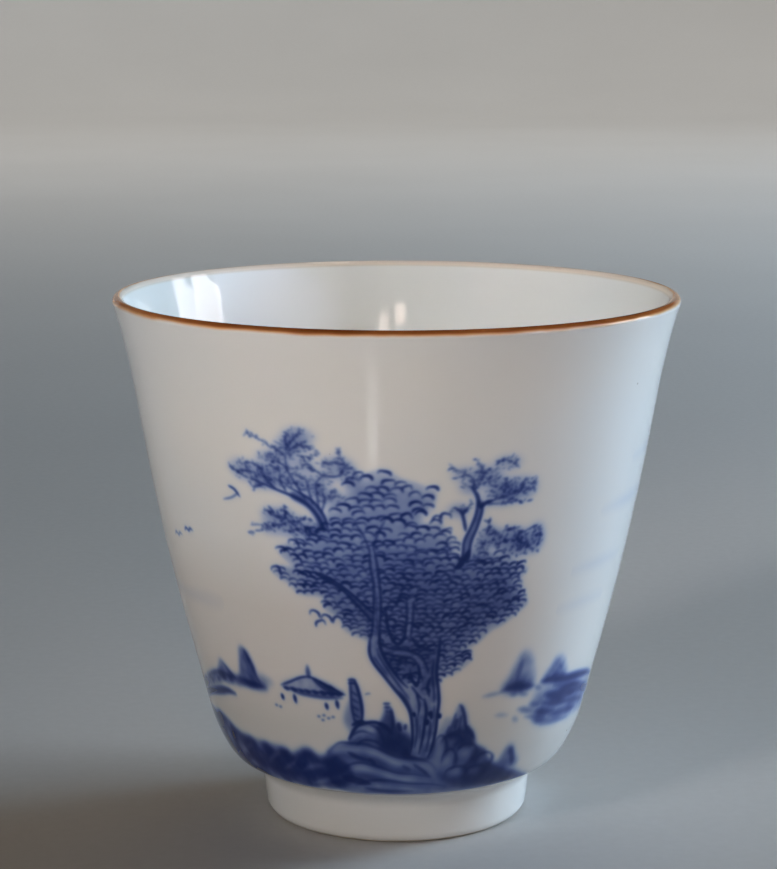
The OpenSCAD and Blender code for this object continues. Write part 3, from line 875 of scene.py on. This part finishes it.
def paint_far_right():
    wash([(15.4, 24.3), (16.6, 23.8), (17.3, 22.2), (17.6, 20.2), (13.2, 20), (13.9, 21.2), (14.7, 22.8)],
          0.27, 0.9, 0.3, 1)
    wash([(13.4, 20.3), (15.4, 20.8), (17.4, 20.5), (18.2, 19.9), (17, 19.4), (14.6, 19.4)], 0.4, 0.8, 0.4,
          0.7)
    stroke([(15.5, 23.4), (15.3, 22), (15.2, 20.6)], 0.7, 0.24, taper=(0.4, 0.3), soft=0.7)
    wash([(18.6, 19), (22.6, 19.2), (28, 18.4), (34, 16.8), (34, 13.8), (27, 14.2), (21.6, 14.6),
          (19.2, 16)], 0.26, 1.2, 0.5, 2)
    wash([(21.4, 22.6), (22.8, 22), (23.6, 20.8), (24.2, 19.8), (19.6, 19.8), (20.4, 21.4)], 0.34, 0.8, 0.4,
          0.8)
    for points, width, ink in (
        ([(10.7, 19.5), (12, 19.6), (13.6, 19.7)], 0.35, 0.36),
        ([(14, 19.9), (16, 19.7), (18.2, 19.7)], 0.5, 0.5), ([(14.6, 19.3), (15.6, 19)], 0.35, 0.4),
        ([(16, 19.2), (17.4, 18.7)], 0.4, 0.4), ([(18.4, 19.6), (19.6, 19.1)], 0.4, 0.45),
        ([(19.4, 20.1), (21.6, 19.8), (24.4, 19.4), (27.4, 19.1), (31, 18.6), (34, 17.8)], 1.1, 0.62),
        ([(20.6, 18.2), (22.6, 17.7), (24.8, 17.2), (28, 16.9)], 1.5, 0.42),
        ([(23.6, 18.2), (27.4, 17.6), (31, 16.8), (34, 16)], 1.6, 0.4),
        ([(16.2, 17.2), (17.6, 16.8), (19.2, 16.3)], 0.7, 0.34), ([(15.6, 16.2), (16.6, 15.6)], 0.5, 0.24),
        ([(18, 17.5), (20, 17)], 0.7, 0.3), ([(19.4, 16.3), (21.2, 15.9), (23.6, 15.6)], 1, 0.46),
        ([(19.2, 15.3), (20.8, 14.9), (22.8, 14.7)], 0.8, 0.4),
        ([(22.4, 15.2), (26.4, 15), (30, 14.6)], 1.1, 0.36),
        ([(12.8, 16.9), (13.8, 16.8), (14.8, 16.6)], 0.4, 0.22),
        ([(25, 16.2), (29, 15.8), (32.6, 15)], 1, 0.3),
    ):
        stroke(points, 0.85 * width, ink, taper=(0.35, 0.5), soft=0.85)
    strokes((
        ([(13.2, 19.9), (14.8, 20.2), (16.4, 20.1), (18, 19.8)], 0.7, 0.42),
        ([(14.6, 20.6), (16.6, 20.6)], 0.5, 0.25), ([(19.6, 19.9), (22, 20.3), (24, 20)], 0.5, 0.35),
        ([(20.4, 17.2), (23, 16.6), (27, 16.2)], 0.7, 0.36),
        ([(22, 19), (25, 18.4), (29, 17.8)], 0.8, 0.34),
        ([(17.6, 16), (19.6, 15.6), (21.6, 15.2)], 0.5, 0.3),
        ([(21, 14.3), (24, 14.3), (28, 13.8)], 0.7, 0.25),
    ), taper=(0.4, 0.5), soft=0.7)


def bird(x, z, span, ink):
    left_wing = [(x - 0.5 * span, z - 0.1), (x - 0.25 * span, z + 0.16 * span), (x, z)]
    right_wing = [(x, z), (x + 0.2 * span, z + 0.2 * span), (x + 0.5 * span, z + 0.12 * span)]
    stroke(left_wing, 0.22, ink, taper=(0.5, 0.2), soft=0.2)
    stroke(right_wing, 0.22, ink, taper=(0.2, 0.5), soft=0.2)


def paint_sky():
    bird(-25.6, 36.9, 1.9, 0.62)
    bird(-28.4, 35.8, 2.2, 0.34)
    for x, z, long, thick, ink in (
        (-30, 28.6, 16, 1, 0.045), (-24, 29.4, 8, 0.6, 0.04), (26, 33.2, 13, 0.9, 0.045),
        (31, 39.8, 14, 1.2, 0.05), (24, 28.8, 14, 0.8, 0.04), (35, 45, 13, 1, 0.045),
    ):
        cloud = [(x - 0.5 * long, z - 0.2), (x, z + 0.1), (x + 0.5 * long, z)]
        stroke(cloud, thick, ink, taper=(0.5, 0.5), soft=2.2)


def paint_back():
    """A quiet stretch of water behind the cup: low hills, a far shore, ripples, birds and a reedy bank."""
    for x, top, wide, ink in ((56, 23.2, 4.6, 0.4), (60.5, 21.8, 3.8, 0.34), (-63, 22.4, 5, 0.34)):
        right, left = x + 0.5 * wide, x - 0.5 * wide
        shoulders = (x + 0.26 * wide, top - 1), (x - 0.3 * wide, top - 1.4)
        wash([(x, top), shoulders[0], (right, 19.9), (left, 19.9), shoulders[1]], ink, 0.7)
    strokes((
        ([(50, 19.3), (55, 19.9), (61, 19.8), (66, 19.3)], 0.7, 0.55),
        ([(63, 18.2), (67, 18.3), (71, 18)], 0.5, 0.3), ([(54, 17.6), (58, 17.8), (61, 17.6)], 0.5, 0.3),
        ([(67, 16.4), (70, 16.5), (73, 16.2)], 0.4, 0.25),
        ([(-68, 19.4), (-63, 19.9), (-57, 19.4)], 0.7, 0.5),
        ([(-60, 17.8), (-56, 17.9), (-53, 17.5)], 0.5, 0.3),
        ([(-72, 17), (-68, 17.2), (-65, 17)], 0.4, 0.25),
    ), taper=(0.4, 0.5), soft=0.6)
    wash([(60, 8.6), (62.5, 10), (65.5, 11.6), (68, 12.2), (70.5, 11.4), (73, 10.4), (76.5, 9), (73, 7.6),
          (66, 7)], 0.42, 0.5)
    strokes((
        ([(62, 9.6), (65.4, 11.6), (68, 12.3), (71, 11.2)], 0.34, 0.6),
        ([(64, 8.8), (67.6, 10.2), (71.4, 9.6)], 0.4, 0.45), ([(68.6, 11.4), (70.6, 10.2)], 0.6, 0.45),
    ), soft=0.36)
    for x, top in ((64.2, 13.6), (65, 14.8), (65.9, 14.2), (69.8, 13.8), (70.6, 13)):
        stroke([(x, 11.2), (x + 0.15, 12.6), (x + 0.5, top)], 0.2, 0.6, taper=(0.1, 0.7), soft=0.15)
    for x, z, span in (
        (58, 37, 1.7), (61, 38.4, 1.4), (62.4, 36.6, 1.2), (-66, 39.6, 1.5), (-62.6, 38.2, 1.8),
    ):
        bird(x, z, span, 0.5)


# ---------------------------------------------------------------------------------------------
# Materials. Coordinates are the object's own, in metres, so neighbouring pieces match at their seams.
# ---------------------------------------------------------------------------------------------
def put(tree, socket, value):
    """Sets an input, or links it if the value is another node's output."""
    if isinstance(value, bpy.types.NodeSocket):
        tree.links.new(value, socket)
    else:
        socket.default_value = value


def add(tree, kind, inputs=None, **settings):
    made = tree.nodes.new("ShaderNode" + kind)
    for key, value in settings.items():
        setattr(made, key, value)
    for key, value in (inputs or {}).items():
        put(tree, made.inputs[key], value)
    return made


def mixed(tree, factor, a, b, blend="MIX"):
    made = add(tree, "Mix", data_type="RGBA", blend_type=blend)
    for index, value in ((0, factor), (6, a), (7, b)):
        put(tree, made.inputs[index], (*value, 1) if isinstance(value, tuple) else value)
    return made.outputs[2]


def calculated(tree, operation, a, b):
    return add(tree, "Math", {0: a, 1: b}, operation=operation).outputs[0]


def times(tree, a, b):
    return calculated(tree, "MULTIPLY", a, b)


def rescaled(tree, value, low, high, to_low=0.0, to_high=1.0, smooth=False):
    inputs = {"Value": value, "From Min": low, "From Max": high, "To Min": to_low, "To Max": to_high}
    kind = "SMOOTHSTEP" if smooth else "LINEAR"
    return add(tree, "MapRange", inputs, interpolation_type=kind).outputs[0]


def noise(tree, place, scale, detail=2.0, rough=0.5):
    inputs = {"Vector": place, "Scale": scale, "Detail": detail, "Roughness": rough}
    return add(tree, "TexNoise", inputs).outputs[0]


def ramped(tree, value, stops):
    """A colour that follows a value from 0 to 1 through (place, colour) stops."""
    ramp = add(tree, "ValToRGB", {0: value})
    elements = ramp.color_ramp.elements
    elements[0].position, elements[1].position = stops[0][0], stops[-1][0]
    for place, _ in stops[1:-1]:
        elements.new(place)
    for element, (_, colour) in zip(elements, stops):
        element.color = (*colour, 1)
    return ramp.outputs[0]


def named_number(tree, name):
    return add(tree, "Attribute", attribute_name=name).outputs["Fac"]


def place_of(tree):
    return add(tree, "TexCoord").outputs["Object"]


def stretched(tree, place, scale):
    return add(tree, "Mapping", {"Vector": place, "Scale": scale}).outputs[0]


def new_material(name):
    material = bpy.data.materials.new(name)
    material.use_nodes = True
    tree = material.node_tree
    return material, tree, tree.nodes["Principled BSDF"]


# Painted shade low on the wall, darkest a little above the foot, with a slight grey of pooled glaze at the
# foot: (place, colour) stops
POOLED_GREY_AND_PAINTED_SHADE = (
    (0.0, (0.96, 0.965, 0.96)),
    (0.2, (0.95, 0.955, 0.95)),
    (0.3, (0.84, 0.85, 0.86)),
    (0.5, (0.80, 0.81, 0.815)),
    (0.62, (0.84, 0.85, 0.85)),
    (0.92, (1, 1, 1)),
)
# Painted warm shade over the lower wall, which the material leaves off towards the right side: (place,
# colour) stops
WARM_PAINTED_SHADE = (
    (0.0, (1, 1, 1)),
    (0.2, (0.93, 0.90, 0.88)),
    (0.35, (0.91, 0.865, 0.835)),
    (0.7, (0.91, 0.865, 0.835)),
    (1.0, (1, 1, 1)),
)
# From bare white, through orange, to the dark brown of the crest
LIP_STAIN = (
    (0.0, (1, 1, 1)),
    (0.12, (0.91, 0.82, 0.73)),
    (0.38, (0.80, 0.45, 0.22)),
    (0.68, (0.42, 0.14, 0.04)),
    (1.0, (0.21, 0.055, 0.012)),
)
COBALT_DEPTH = 5.5
GLOSS_INSIDE = 0.5
GLOSS_OUTSIDE = 0.3
TABLE_DARK = (0.44, 0.43, 0.415)
TABLE_PALE = (0.49, 0.48, 0.465)


def porcelain_colour(tree, place):
    """White clay under clear glaze: a slow drift from warm to cool, painted shade and painted warm shade
    over the lower wall, and a few dark pinheads of iron.
    """
    drift = rescaled(tree, noise(tree, place, 38.0), 0.35, 0.65)
    colour = mixed(tree, drift, (0.80, 0.79, 0.775), (0.825, 0.795, 0.755))
    # painted shade: darker low on the wall and darkest a little above the foot, with a slight grey of
    # pooled glaze at the foot
    across, _, height = add(tree, "SeparateXYZ", {0: place}).outputs
    pooled_grey_and_shade = ramped(tree, rescaled(tree, height, 0.0, 0.024), POOLED_GREY_AND_PAINTED_SHADE)
    colour = mixed(tree, 1.0, colour, pooled_grey_and_shade, "MULTIPLY")
    # painted warm shade: the lower wall is made darker and warmer, fading out towards the right side (+X)
    warm_painted_shade = ramped(tree, rescaled(tree, height, 0.010, 0.038), WARM_PAINTED_SHADE)
    colour = mixed(tree, rescaled(tree, across, 0.012, 0.019, 1.0, 0.0), colour, warm_painted_shade, "MULTIPLY")
    cells = add(tree, "TexVoronoi", {"Vector": place, "Scale": 150.0})
    close = rescaled(tree, cells.outputs["Distance"], 0.028, 0.016)
    chance = add(tree, "SeparateColor", {0: cells.outputs["Color"]}).outputs[0]
    rare = calculated(tree, "GREATER_THAN", chance, 0.82)
    return mixed(tree, times(tree, close, rare), colour, (0.30, 0.24, 0.19))


def glassy_surface(tree, shader, place):
    """The skin of a fired glaze: faint turning rings under a fine orange peel."""
    put(tree, shader.inputs["Roughness"], rescaled(tree, noise(tree, place, 260.0), 0.3, 0.7, 0.065, 0.105))
    shader.inputs["IOR"].default_value = 1.5
    rings = noise(tree, stretched(tree, place, (6.0, 6.0, 420.0)), 1.0, 3.0)
    peel = noise(tree, place, 520.0, 3.0)
    swells = noise(tree, place, 90.0)
    height = calculated(tree, "ADD", times(tree, rings, 0.6), times(tree, peel, 0.25))
    height = calculated(tree, "ADD", height, swells)
    bump = add(tree, "Bump", {"Height": height, "Strength": 0.35, "Distance": 0.00004})
    put(tree, shader.inputs["Normal"], bump.outputs[0])


def lip_stained(tree, colour, place):
    """Iron-brown brushed round the lip: dark on its crest, orange where it thins, paler at the back."""
    out_from_crest = named_number(tree, "lip_mm")
    waver = times(tree, calculated(tree, "SUBTRACT", noise(tree, place, 160.0), 0.5), 0.5)
    edge = calculated(tree, "ADD", out_from_crest, waver)
    outside = rescaled(tree, edge, 1.2, 0.42, smooth=True)
    inside = rescaled(tree, edge, -0.55, 0.05, smooth=True)
    _, depth, _ = add(tree, "SeparateXYZ", {0: place}).outputs
    towards_back = rescaled(tree, depth, -0.026, 0.018, 1.0, 0.2)
    patchy = rescaled(tree, noise(tree, place, 75.0), 0.3, 0.7, 0.8, 1.08)
    strength = times(tree, times(tree, outside, inside), times(tree, towards_back, patchy))
    blush = times(tree, rescaled(tree, edge, -2.6, -0.8, smooth=True), outside)
    strength = calculated(tree, "MAXIMUM", strength, times(tree, blush, 0.12))
    return mixed(tree, 1.0, colour, ramped(tree, strength, LIP_STAIN), "MULTIPLY")


def cobalt_through_glaze(amount):
    """What is left of white after that much cobalt: thin washes are a clear blue, thick ones turn inky."""
    depth = COBALT_DEPTH * amount
    green = 0.66 + 0.58 * amount - 0.56 * amount ** 2
    blue = 0.12 + 0.80 * amount - 0.60 * amount ** 2
    return math.exp(-depth), math.exp(-green * depth), math.exp(-blue * depth)


def glaze_material(name, painted=False, lip=False, inside=False):
    material, tree, shader = new_material(name)
    place = place_of(tree)
    colour = porcelain_colour(tree, place)
    if inside:
        colour = mixed(tree, 1.0, colour, (0.93, 0.965, 0.97), "MULTIPLY")
    if lip:
        colour = lip_stained(tree, colour, place)
    if painted:
        amounts = [i / 12 for i in range(13)]
        cobalt = ramped(tree, named_number(tree, "cobalt"), [(a, cobalt_through_glaze(a)) for a in amounts])
        colour = mixed(tree, 1.0, colour, cobalt, "MULTIPLY")
    put(tree, shader.inputs["Base Color"], colour)
    glassy_surface(tree, shader, place)
    shader.inputs["Specular IOR Level"].default_value = GLOSS_INSIDE if inside else GLOSS_OUTSIDE
    return material


def bare_clay_material():
    """The unglazed foot edge: dry and warm, with a fine grain and a little grey rubbed into it."""
    material, tree, shader = new_material("bare_clay")
    place = place_of(tree)
    grain = noise(tree, place, 2200.0, 4.0, 0.7)
    colour = mixed(tree, rescaled(tree, grain, 0.3, 0.7), (0.62, 0.54, 0.43), (0.76, 0.69, 0.58))
    rubbed = rescaled(tree, noise(tree, place, 240.0, 3.0), 0.5, 0.72)
    colour = mixed(tree, times(tree, rubbed, 0.4), colour, (0.45, 0.40, 0.35))
    put(tree, shader.inputs["Base Color"], colour)
    put(tree, shader.inputs["Roughness"], rescaled(tree, grain, 0.3, 0.7, 0.62, 0.88))
    bump = add(tree, "Bump", {"Height": grain, "Strength": 0.5, "Distance": 0.00003})
    put(tree, shader.inputs["Normal"], bump.outputs[0])
    return material


def fired_clay_material():
    """White porcelain under the glaze."""
    material, tree, shader = new_material("fired_porcelain")
    place = place_of(tree)
    grain = noise(tree, place, 1500.0, 3.0)
    put(tree, shader.inputs["Base Color"], mixed(tree, grain, (0.78, 0.765, 0.735), (0.86, 0.85, 0.83)))
    put(tree, shader.inputs["Roughness"], rescaled(tree, grain, 0.3, 0.7, 0.45, 0.6))
    return material


def table_material():
    material, tree, shader = new_material("pale_table")
    place = place_of(tree)
    soft = noise(tree, place, 9.0, 4.0)
    fine = noise(tree, place, 700.0, 3.0)
    tone = mixed(tree, soft, TABLE_DARK, TABLE_PALE)
    tone = mixed(tree, times(tree, fine, 0.12), tone, (0.4, 0.39, 0.38))
    put(tree, shader.inputs["Base Color"], tone)
    put(tree, shader.inputs["Roughness"], rescaled(tree, fine, 0.3, 0.7, 0.6, 0.75))
    return material


# How far cobalt bleeds into the glaze round each mark, in mm: most of it a little way, the rest further
DIFFUSION = 0.11
WIDE_DIFFUSION = 0.4
NEAR_SHARE = 0.78
# Soft lamps that light the cup but do not show in the glaze: name, azimuth (0 is the front, + to the
# right) and elevation in degrees, distance in metres, height that it is aimed at in mm, width and height
# in metres, spread in degrees, colour and power in watts
LAMPS = (
    ("key", -40, 22, 0.50, 88, (0.14, 0.14), 20, (1.0, 0.99, 1.0), 0.0385),
    ("front_fill", 5, 20, 0.50, 80, (0.14, 0.14), 26, (1.0, 0.68, 0.45), 0.0115),
    ("window_light", 118, 12, 1.25, 57, (0.40, 0.40), 180, (0.50, 0.75, 1.0), 14.0),
    ("sky", 100, 26, 1.25, 57, (0.40, 0.40), 180, (0.73, 0.86, 1.0), 7.4),
)
# Things in the room that only show as reflections in the glaze: name, azimuth, elevation, width and
# height in metres, colour and power in watts
REFLECTIONS = (
    ("pane_right", 98, 10, (0.33, 0.44), (1.0, 0.93, 0.96), 4.0),
    ("pane_left", 112, 7.5, (0.285, 0.40), (1.0, 0.94, 0.97), 2.3),
    ("curtain_near_window", 73, 18, (0.81, 0.50), (0.70, 0.77, 1.0), 1.5),
    ("curtain_middle", 65.5, 18, (1.19, 0.50), (0.70, 0.77, 1.0), 3.0),
    ("curtain", 60.5, 18, (1.47, 0.50), (0.70, 0.77, 1.0), 4.0),
    ("room_lamp_right", 6, 18, (0.10, 0.10), (1.0, 0.82, 0.70), 0.25),
    ("room_lamp_left", -2, 20.5, (0.10, 0.10), (1.0, 0.82, 0.70), 0.33),
)
REFLECTION_DISTANCE = 1.25
REFLECTION_AIM = 57
# The tall streak on the front of the cup is a thin strip of light that lies on the table.
STREAK_AZIMUTH = -9.2
STREAK_ELEVATION = 0.5
STREAK_DISTANCE = 116.5
STREAK_SIZE = (8, 17)
STREAK_POWER = 0.0021
# Eight lamps round the cup light the far floor and the sweep of the wall: the azimuths, and the
# elevation and distance of each lamp and of what it is aimed at
BACKDROP_COLOUR = (1.0, 0.98, 0.95)
BACKDROP_POWER = 6.0
BACKDROP_SIZE = (0.9, 0.3)
BACKDROP_TURNS = range(0, 360, 45)
BACKDROP_FROM = (42, 1.35)
BACKDROP_TO = (4.5, 1.9)
# The light high up behind the cup: azimuth, elevation and distance, then its colour, strength and angle
HIGH_LIGHT_FROM = (175, 60, 2.0)
HIGH_LIGHT_COLOUR = (1.0, 0.72, 0.35)
HIGH_LIGHT_POWER = 0.27
HIGH_LIGHT_ANGLE = 40
WORLD_COLOUR = (0.80, 0.81, 0.83, 1)
WORLD_STRENGTH = 0.01
# The stage, in metres: a flat floor, a round sweep up to this many degrees, and how many pieces go round
FLOOR_INNER_R = 0.6
FLOOR_R = 1.4
SWEEP_R = 0.8
SWEEP_ANGLE = 70
STAGE_TURNS = 96
# The camera: its place in mm, how far it looks down in degrees, and its lens in mm on a 36 mm sensor
CAMERA_PLACE = (-0.92, -289.8, 98.4)
CAMERA_PITCH = 10.43
LENS = 115.85
SENSOR_WIDTH = 36


# ---------------------------------------------------------------------------------------------
# Laying the painting on the wall
# ---------------------------------------------------------------------------------------------
def sampled(cobalt, x, z):
    """The amount of cobalt at each x and z, between the cells of a layer."""
    u = np.clip((x - LEFT) / CELL - 0.5, 0, COLUMNS - 1.001)
    v = np.clip((z - BOTTOM) / CELL - 0.5, 0, ROWS - 1.001)
    j, i = u.astype(int), v.astype(int)
    s, t = u - j, v - i
    below = cobalt[i, j] * (1 - s) + cobalt[i, j + 1] * s
    above = cobalt[i + 1, j] * (1 - s) + cobalt[i + 1, j + 1] * s
    return below * (1 - t) + above * t


# Cobalt too faint to see, and how far the skins reach past the painting and lie proud of the glaze, in mm
FAINTEST = 0.012
MARGIN = 0.35
PROUD = 0.02


def lay_on_wall(name, cobalt, x_span, z_span, spacing):
    """The painted part of the glaze within a span of the unrolled wall, as a skin just proud of it."""
    far = length_along(wall_curve)
    start, end = np.interp([-z_span[1], -z_span[0]], -wall_curve[:, 1], far)
    walk = np.linspace(end, start, int((end - start) / spacing) + 1)
    rows = np.stack([np.interp(walk, far, wall_curve[:, k]) for k in range(4)], axis=1)
    middle_r = 0.5 * (rows[0, 0] + rows[-1, 0])
    x = np.linspace(*x_span, int((x_span[1] - x_span[0]) * middle_r / UNROLL_R / spacing) + 1)
    out = unit(outward(rows))
    r = rows[:, 0] + PROUD * out[:, 0]
    z = rows[:, 1] + PROUD * out[:, 1]
    grid_x, grid_z = np.meshgrid(x, rows[:, 1])
    amount = sampled(cobalt, grid_x, grid_z)
    near = blur((amount > FAINTEST).astype(np.float32), MARGIN / spacing) > 0.02
    sin, cos = np.sin(x / UNROLL_R), np.cos(x / UNROLL_R)
    points, normals = (
        np.stack([np.outer(away, sin), -np.outer(away, cos), np.repeat(up[:, None], len(x), 1)], axis=2)
        for away, up in ((r, z), (out[:, 0], out[:, 1])))
    cells = near[:-1, :-1] | near[1:, :-1] | near[:-1, 1:] | near[1:, 1:]
    i, j = np.nonzero(cells)
    wide = len(x)
    corners = np.stack([i * wide + j, i * wide + j + 1, (i + 1) * wide + j + 1, (i + 1) * wide + j], axis=1)
    used, faces = np.unique(corners, return_inverse=True)
    return make_mesh(name, points.reshape(-1, 3)[used], normals.reshape(-1, 3)[used],
                     faces.reshape(-1, 4).tolist(), {"cobalt": amount.ravel()[used]})


def paint():
    for part in (
        paint_far_left, paint_far_right, paint_back, paint_sky, paint_crown, paint_ground, paint_shrubs,
        paint_pavilion, paint_trunk, paint_upper_left, paint_upper_right,
    ):
        part()
    near = blur(layer, DIFFUSION / CELL)
    far = blur(layer, WIDE_DIFFUSION / CELL)
    return NEAR_SHARE * near + (1 - NEAR_SHARE) * far


# ---------------------------------------------------------------------------------------------
# The pieces
# ---------------------------------------------------------------------------------------------
def dress(piece, material, slot, *nodes):
    piece.data.materials.clear()
    piece.data.materials.append(material)
    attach(piece, "root")
    if nodes:
        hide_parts(*nodes)


def make_glazes():
    clear = glaze_material("clear_glaze")
    lipped = glaze_material("clear_glaze_by_the_lip", lip=True)
    crest = length_along(lip_curve)[-1] * (math.pi / 2 - lip_turn) / math.pi
    lip_mm = length_along(lip_curve) - crest
    outer = joined(wall_curve, foot_outside_curve)
    inner_mm = lip_mm[0] - length_along(inside_curve)[::-1]
    dress(coat("glaze_outside", outer, {"lip_mm": lip_mm[-1] + length_along(outer)}), lipped, "clear_glaze",
          "outer_glaze")
    dress(coat("glaze_inside", inside_curve, {"lip_mm": inner_mm}),
          glaze_material("clear_glaze_inside", lip=True, inside=True), "clear_glaze", "inner_glaze")
    well = joined(foot_inside_curve, well_roof_curve)
    dress(coat("glaze_in_well", well), clear, "clear_glaze", "base_glaze")
    dress(coat("brown_lip", lip_curve, {"lip_mm": lip_mm}), glaze_material("iron_brown_lip", lip=True),
          "iron_brown_glaze", "rim_band")


def make_foot_edge():
    out = outward(bare_curve)
    inner_end = foot_inside_curve[0, :2] - glaze_t * outward(foot_inside_curve)[0]
    outer_end = foot_outside_curve[-1, :2] - glaze_t * outward(foot_outside_curve)[-1]
    rings = np.vstack([bare_curve[:, :2], inner_end, outer_end])
    ring_normals = np.vstack([out, [0, 1], [0, 1]])
    edge = turned("bare_foot_edge", rings, ring_normals)
    dress(edge, bare_clay_material(), "bare_porcelain", "foot_edge")


# The patches of the painting: name, span across and span up the unrolled wall, and spacing of its points
PAINTED = (
    ("painting_crown_left", (-20, -2), (25.5, 53), 0.088),
    ("painting_crown_right", (-2, 17.5), (25.5, 53), 0.088),
    ("painting_mound", (-10, 12), (5.6, 25.5), 0.088),
    ("painting_left_bank", (-52, -10), (5.6, 25.5), 0.11),
    ("painting_right_shore", (12, 38), (5.6, 25.5), 0.11),
    ("painting_left_sky", (-46, -20), (25.5, 53), 0.13),
    ("painting_right_sky", (17.5, 46), (25.5, 53), 0.2),
    ("painting_back_right", (46, math.pi * UNROLL_R), (5.6, 42), 0.16),
    ("painting_back_left", (-math.pi * UNROLL_R, -52), (5.6, 42), 0.16),
)


def make_painting():
    cobalt = paint()
    painted = glaze_material("cobalt_under_glaze", painted=True)
    for name, x_span, z_span, spacing in PAINTED:
        dress(lay_on_wall(name, cobalt, x_span, z_span, spacing), painted, "clear_glaze")


def make_porcelain():
    material = fired_clay_material()
    for node in ("bowl", "foot_ring"):
        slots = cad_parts[node].data.materials
        slots.clear()
        slots.append(material)


# ---------------------------------------------------------------------------------------------
# Table, light and camera
# ---------------------------------------------------------------------------------------------
def make_stage():
    """A pale floor that sweeps up into a low pale wall all round."""
    angles = np.linspace(0, math.radians(SWEEP_ANGLE), 13)
    profile = [(FLOOR_INNER_R, 0.0)]
    profile += [(FLOOR_R + SWEEP_R * math.sin(a), SWEEP_R * (1 - math.cos(a))) for a in angles]
    turns = np.linspace(0, 2 * math.pi, STAGE_TURNS, endpoint=False)
    points = [(0, 0, 0)] + [(r * math.cos(a), r * math.sin(a), z) for r, z in profile for a in turns]
    following = [(k + 1) % STAGE_TURNS for k in range(STAGE_TURNS)]
    faces = [(0, 1 + k, 1 + following[k]) for k in range(STAGE_TURNS)]
    for ring in range(len(profile) - 1):
        low, high = 1 + ring * STAGE_TURNS, 1 + (ring + 1) * STAGE_TURNS
        faces += [(low + k, high + k, high + following[k], low + following[k]) for k in range(STAGE_TURNS)]
    mesh = bpy.data.meshes.new("stage")
    mesh.from_pydata(points, [], faces)
    mesh.shade_smooth()
    stage = bpy.data.objects.new("stage", mesh)
    bpy.context.scene.collection.objects.link(stage)
    mesh.materials.append(table_material())


def seen_from(azimuth, elevation, distance):
    """The place at an azimuth, an elevation and a distance in metres from the foot of the cup."""
    a, e = math.radians(azimuth), math.radians(elevation)
    return Vector((math.sin(a) * math.cos(e), -math.cos(a) * math.cos(e), math.sin(e))) * distance


def add_light(kind, name, colour, energy, place, aim):
    light = bpy.data.lights.new(name, kind)
    light.color = colour
    light.energy = energy
    lamp = bpy.data.objects.new(name, light)
    bpy.context.scene.collection.objects.link(lamp)
    lamp.location = place
    lamp.rotation_euler = (aim - place).to_track_quat("-Z", "Y").to_euler()
    lamp.visible_camera = False
    return lamp


def add_area_light(name, colour, power, place, aim, size):
    lamp = add_light("AREA", name, colour, power, place, aim)
    lamp.data.shape = "RECTANGLE"
    lamp.data.size, lamp.data.size_y = size
    return lamp


def make_lamp(name, azimuth, elevation, distance, aim_mm, size, spread, colour, power):
    aim = Vector((0, 0, aim_mm * MM))
    lamp = add_area_light(name, colour, power, aim + seen_from(azimuth, elevation, distance), aim, size)
    lamp.data.spread = math.radians(spread)
    lamp.visible_glossy = False


def make_reflection(name, azimuth, elevation, size, colour, power):
    aim = Vector((0, 0, REFLECTION_AIM * MM))
    place = aim + seen_from(azimuth, elevation, REFLECTION_DISTANCE)
    lamp = add_area_light(name, colour, power, place, aim, size)
    lamp.visible_diffuse = False


def make_streak():
    size = [side * MM for side in STREAK_SIZE]
    place = seen_from(STREAK_AZIMUTH, STREAK_ELEVATION, STREAK_DISTANCE * MM)
    lamp = add_area_light("streak", (1, 1, 1), STREAK_POWER, place, place + Vector((0, 0, 1)), size)
    lamp.rotation_euler = (math.pi, 0, math.radians(STREAK_AZIMUTH))
    lamp.visible_diffuse = False


def make_high_light():
    """Broad, even, warm light from high up behind the cup."""
    place = seen_from(*HIGH_LIGHT_FROM)
    lamp = add_light("SUN", "high_light", HIGH_LIGHT_COLOUR, HIGH_LIGHT_POWER, place, Vector())
    lamp.data.angle = math.radians(HIGH_LIGHT_ANGLE)
    lamp.visible_glossy = False


def make_backdrop_lamps():
    """Lamps that face away from the cup and light the far floor and the sweep of the wall."""
    for azimuth in BACKDROP_TURNS:
        place = seen_from(azimuth, *BACKDROP_FROM)
        aim = seen_from(azimuth, *BACKDROP_TO)
        add_area_light(f"backdrop_{azimuth}", BACKDROP_COLOUR, BACKDROP_POWER, place, aim, BACKDROP_SIZE)


def make_world():
    world = bpy.data.worlds.new("studio")
    world.use_nodes = True
    background = world.node_tree.nodes["Background"]
    background.inputs["Color"].default_value = WORLD_COLOUR
    background.inputs["Strength"].default_value = WORLD_STRENGTH
    bpy.context.scene.world = world


def make_camera():
    camera = bpy.data.cameras.new("camera")
    camera.sensor_fit = "HORIZONTAL"
    camera.sensor_width = SENSOR_WIDTH
    camera.lens = LENS
    camera.clip_start = 0.01
    holder = bpy.data.objects.new("camera", camera)
    bpy.context.scene.collection.objects.link(holder)
    holder.location = Vector(CAMERA_PLACE) * MM
    holder.rotation_euler = (math.radians(90 - CAMERA_PITCH), 0, 0)
    bpy.context.scene.camera = holder


make_porcelain()
make_glazes()
make_foot_edge()
make_painting()
make_stage()
make_world()
for lamp in LAMPS:
    make_lamp(*lamp)
for reflection in REFLECTIONS:
    make_reflection(*reflection)
make_streak()
make_high_light()
make_backdrop_lamps()
make_camera()
bpy.context.scene.view_settings.view_transform = "Standard"
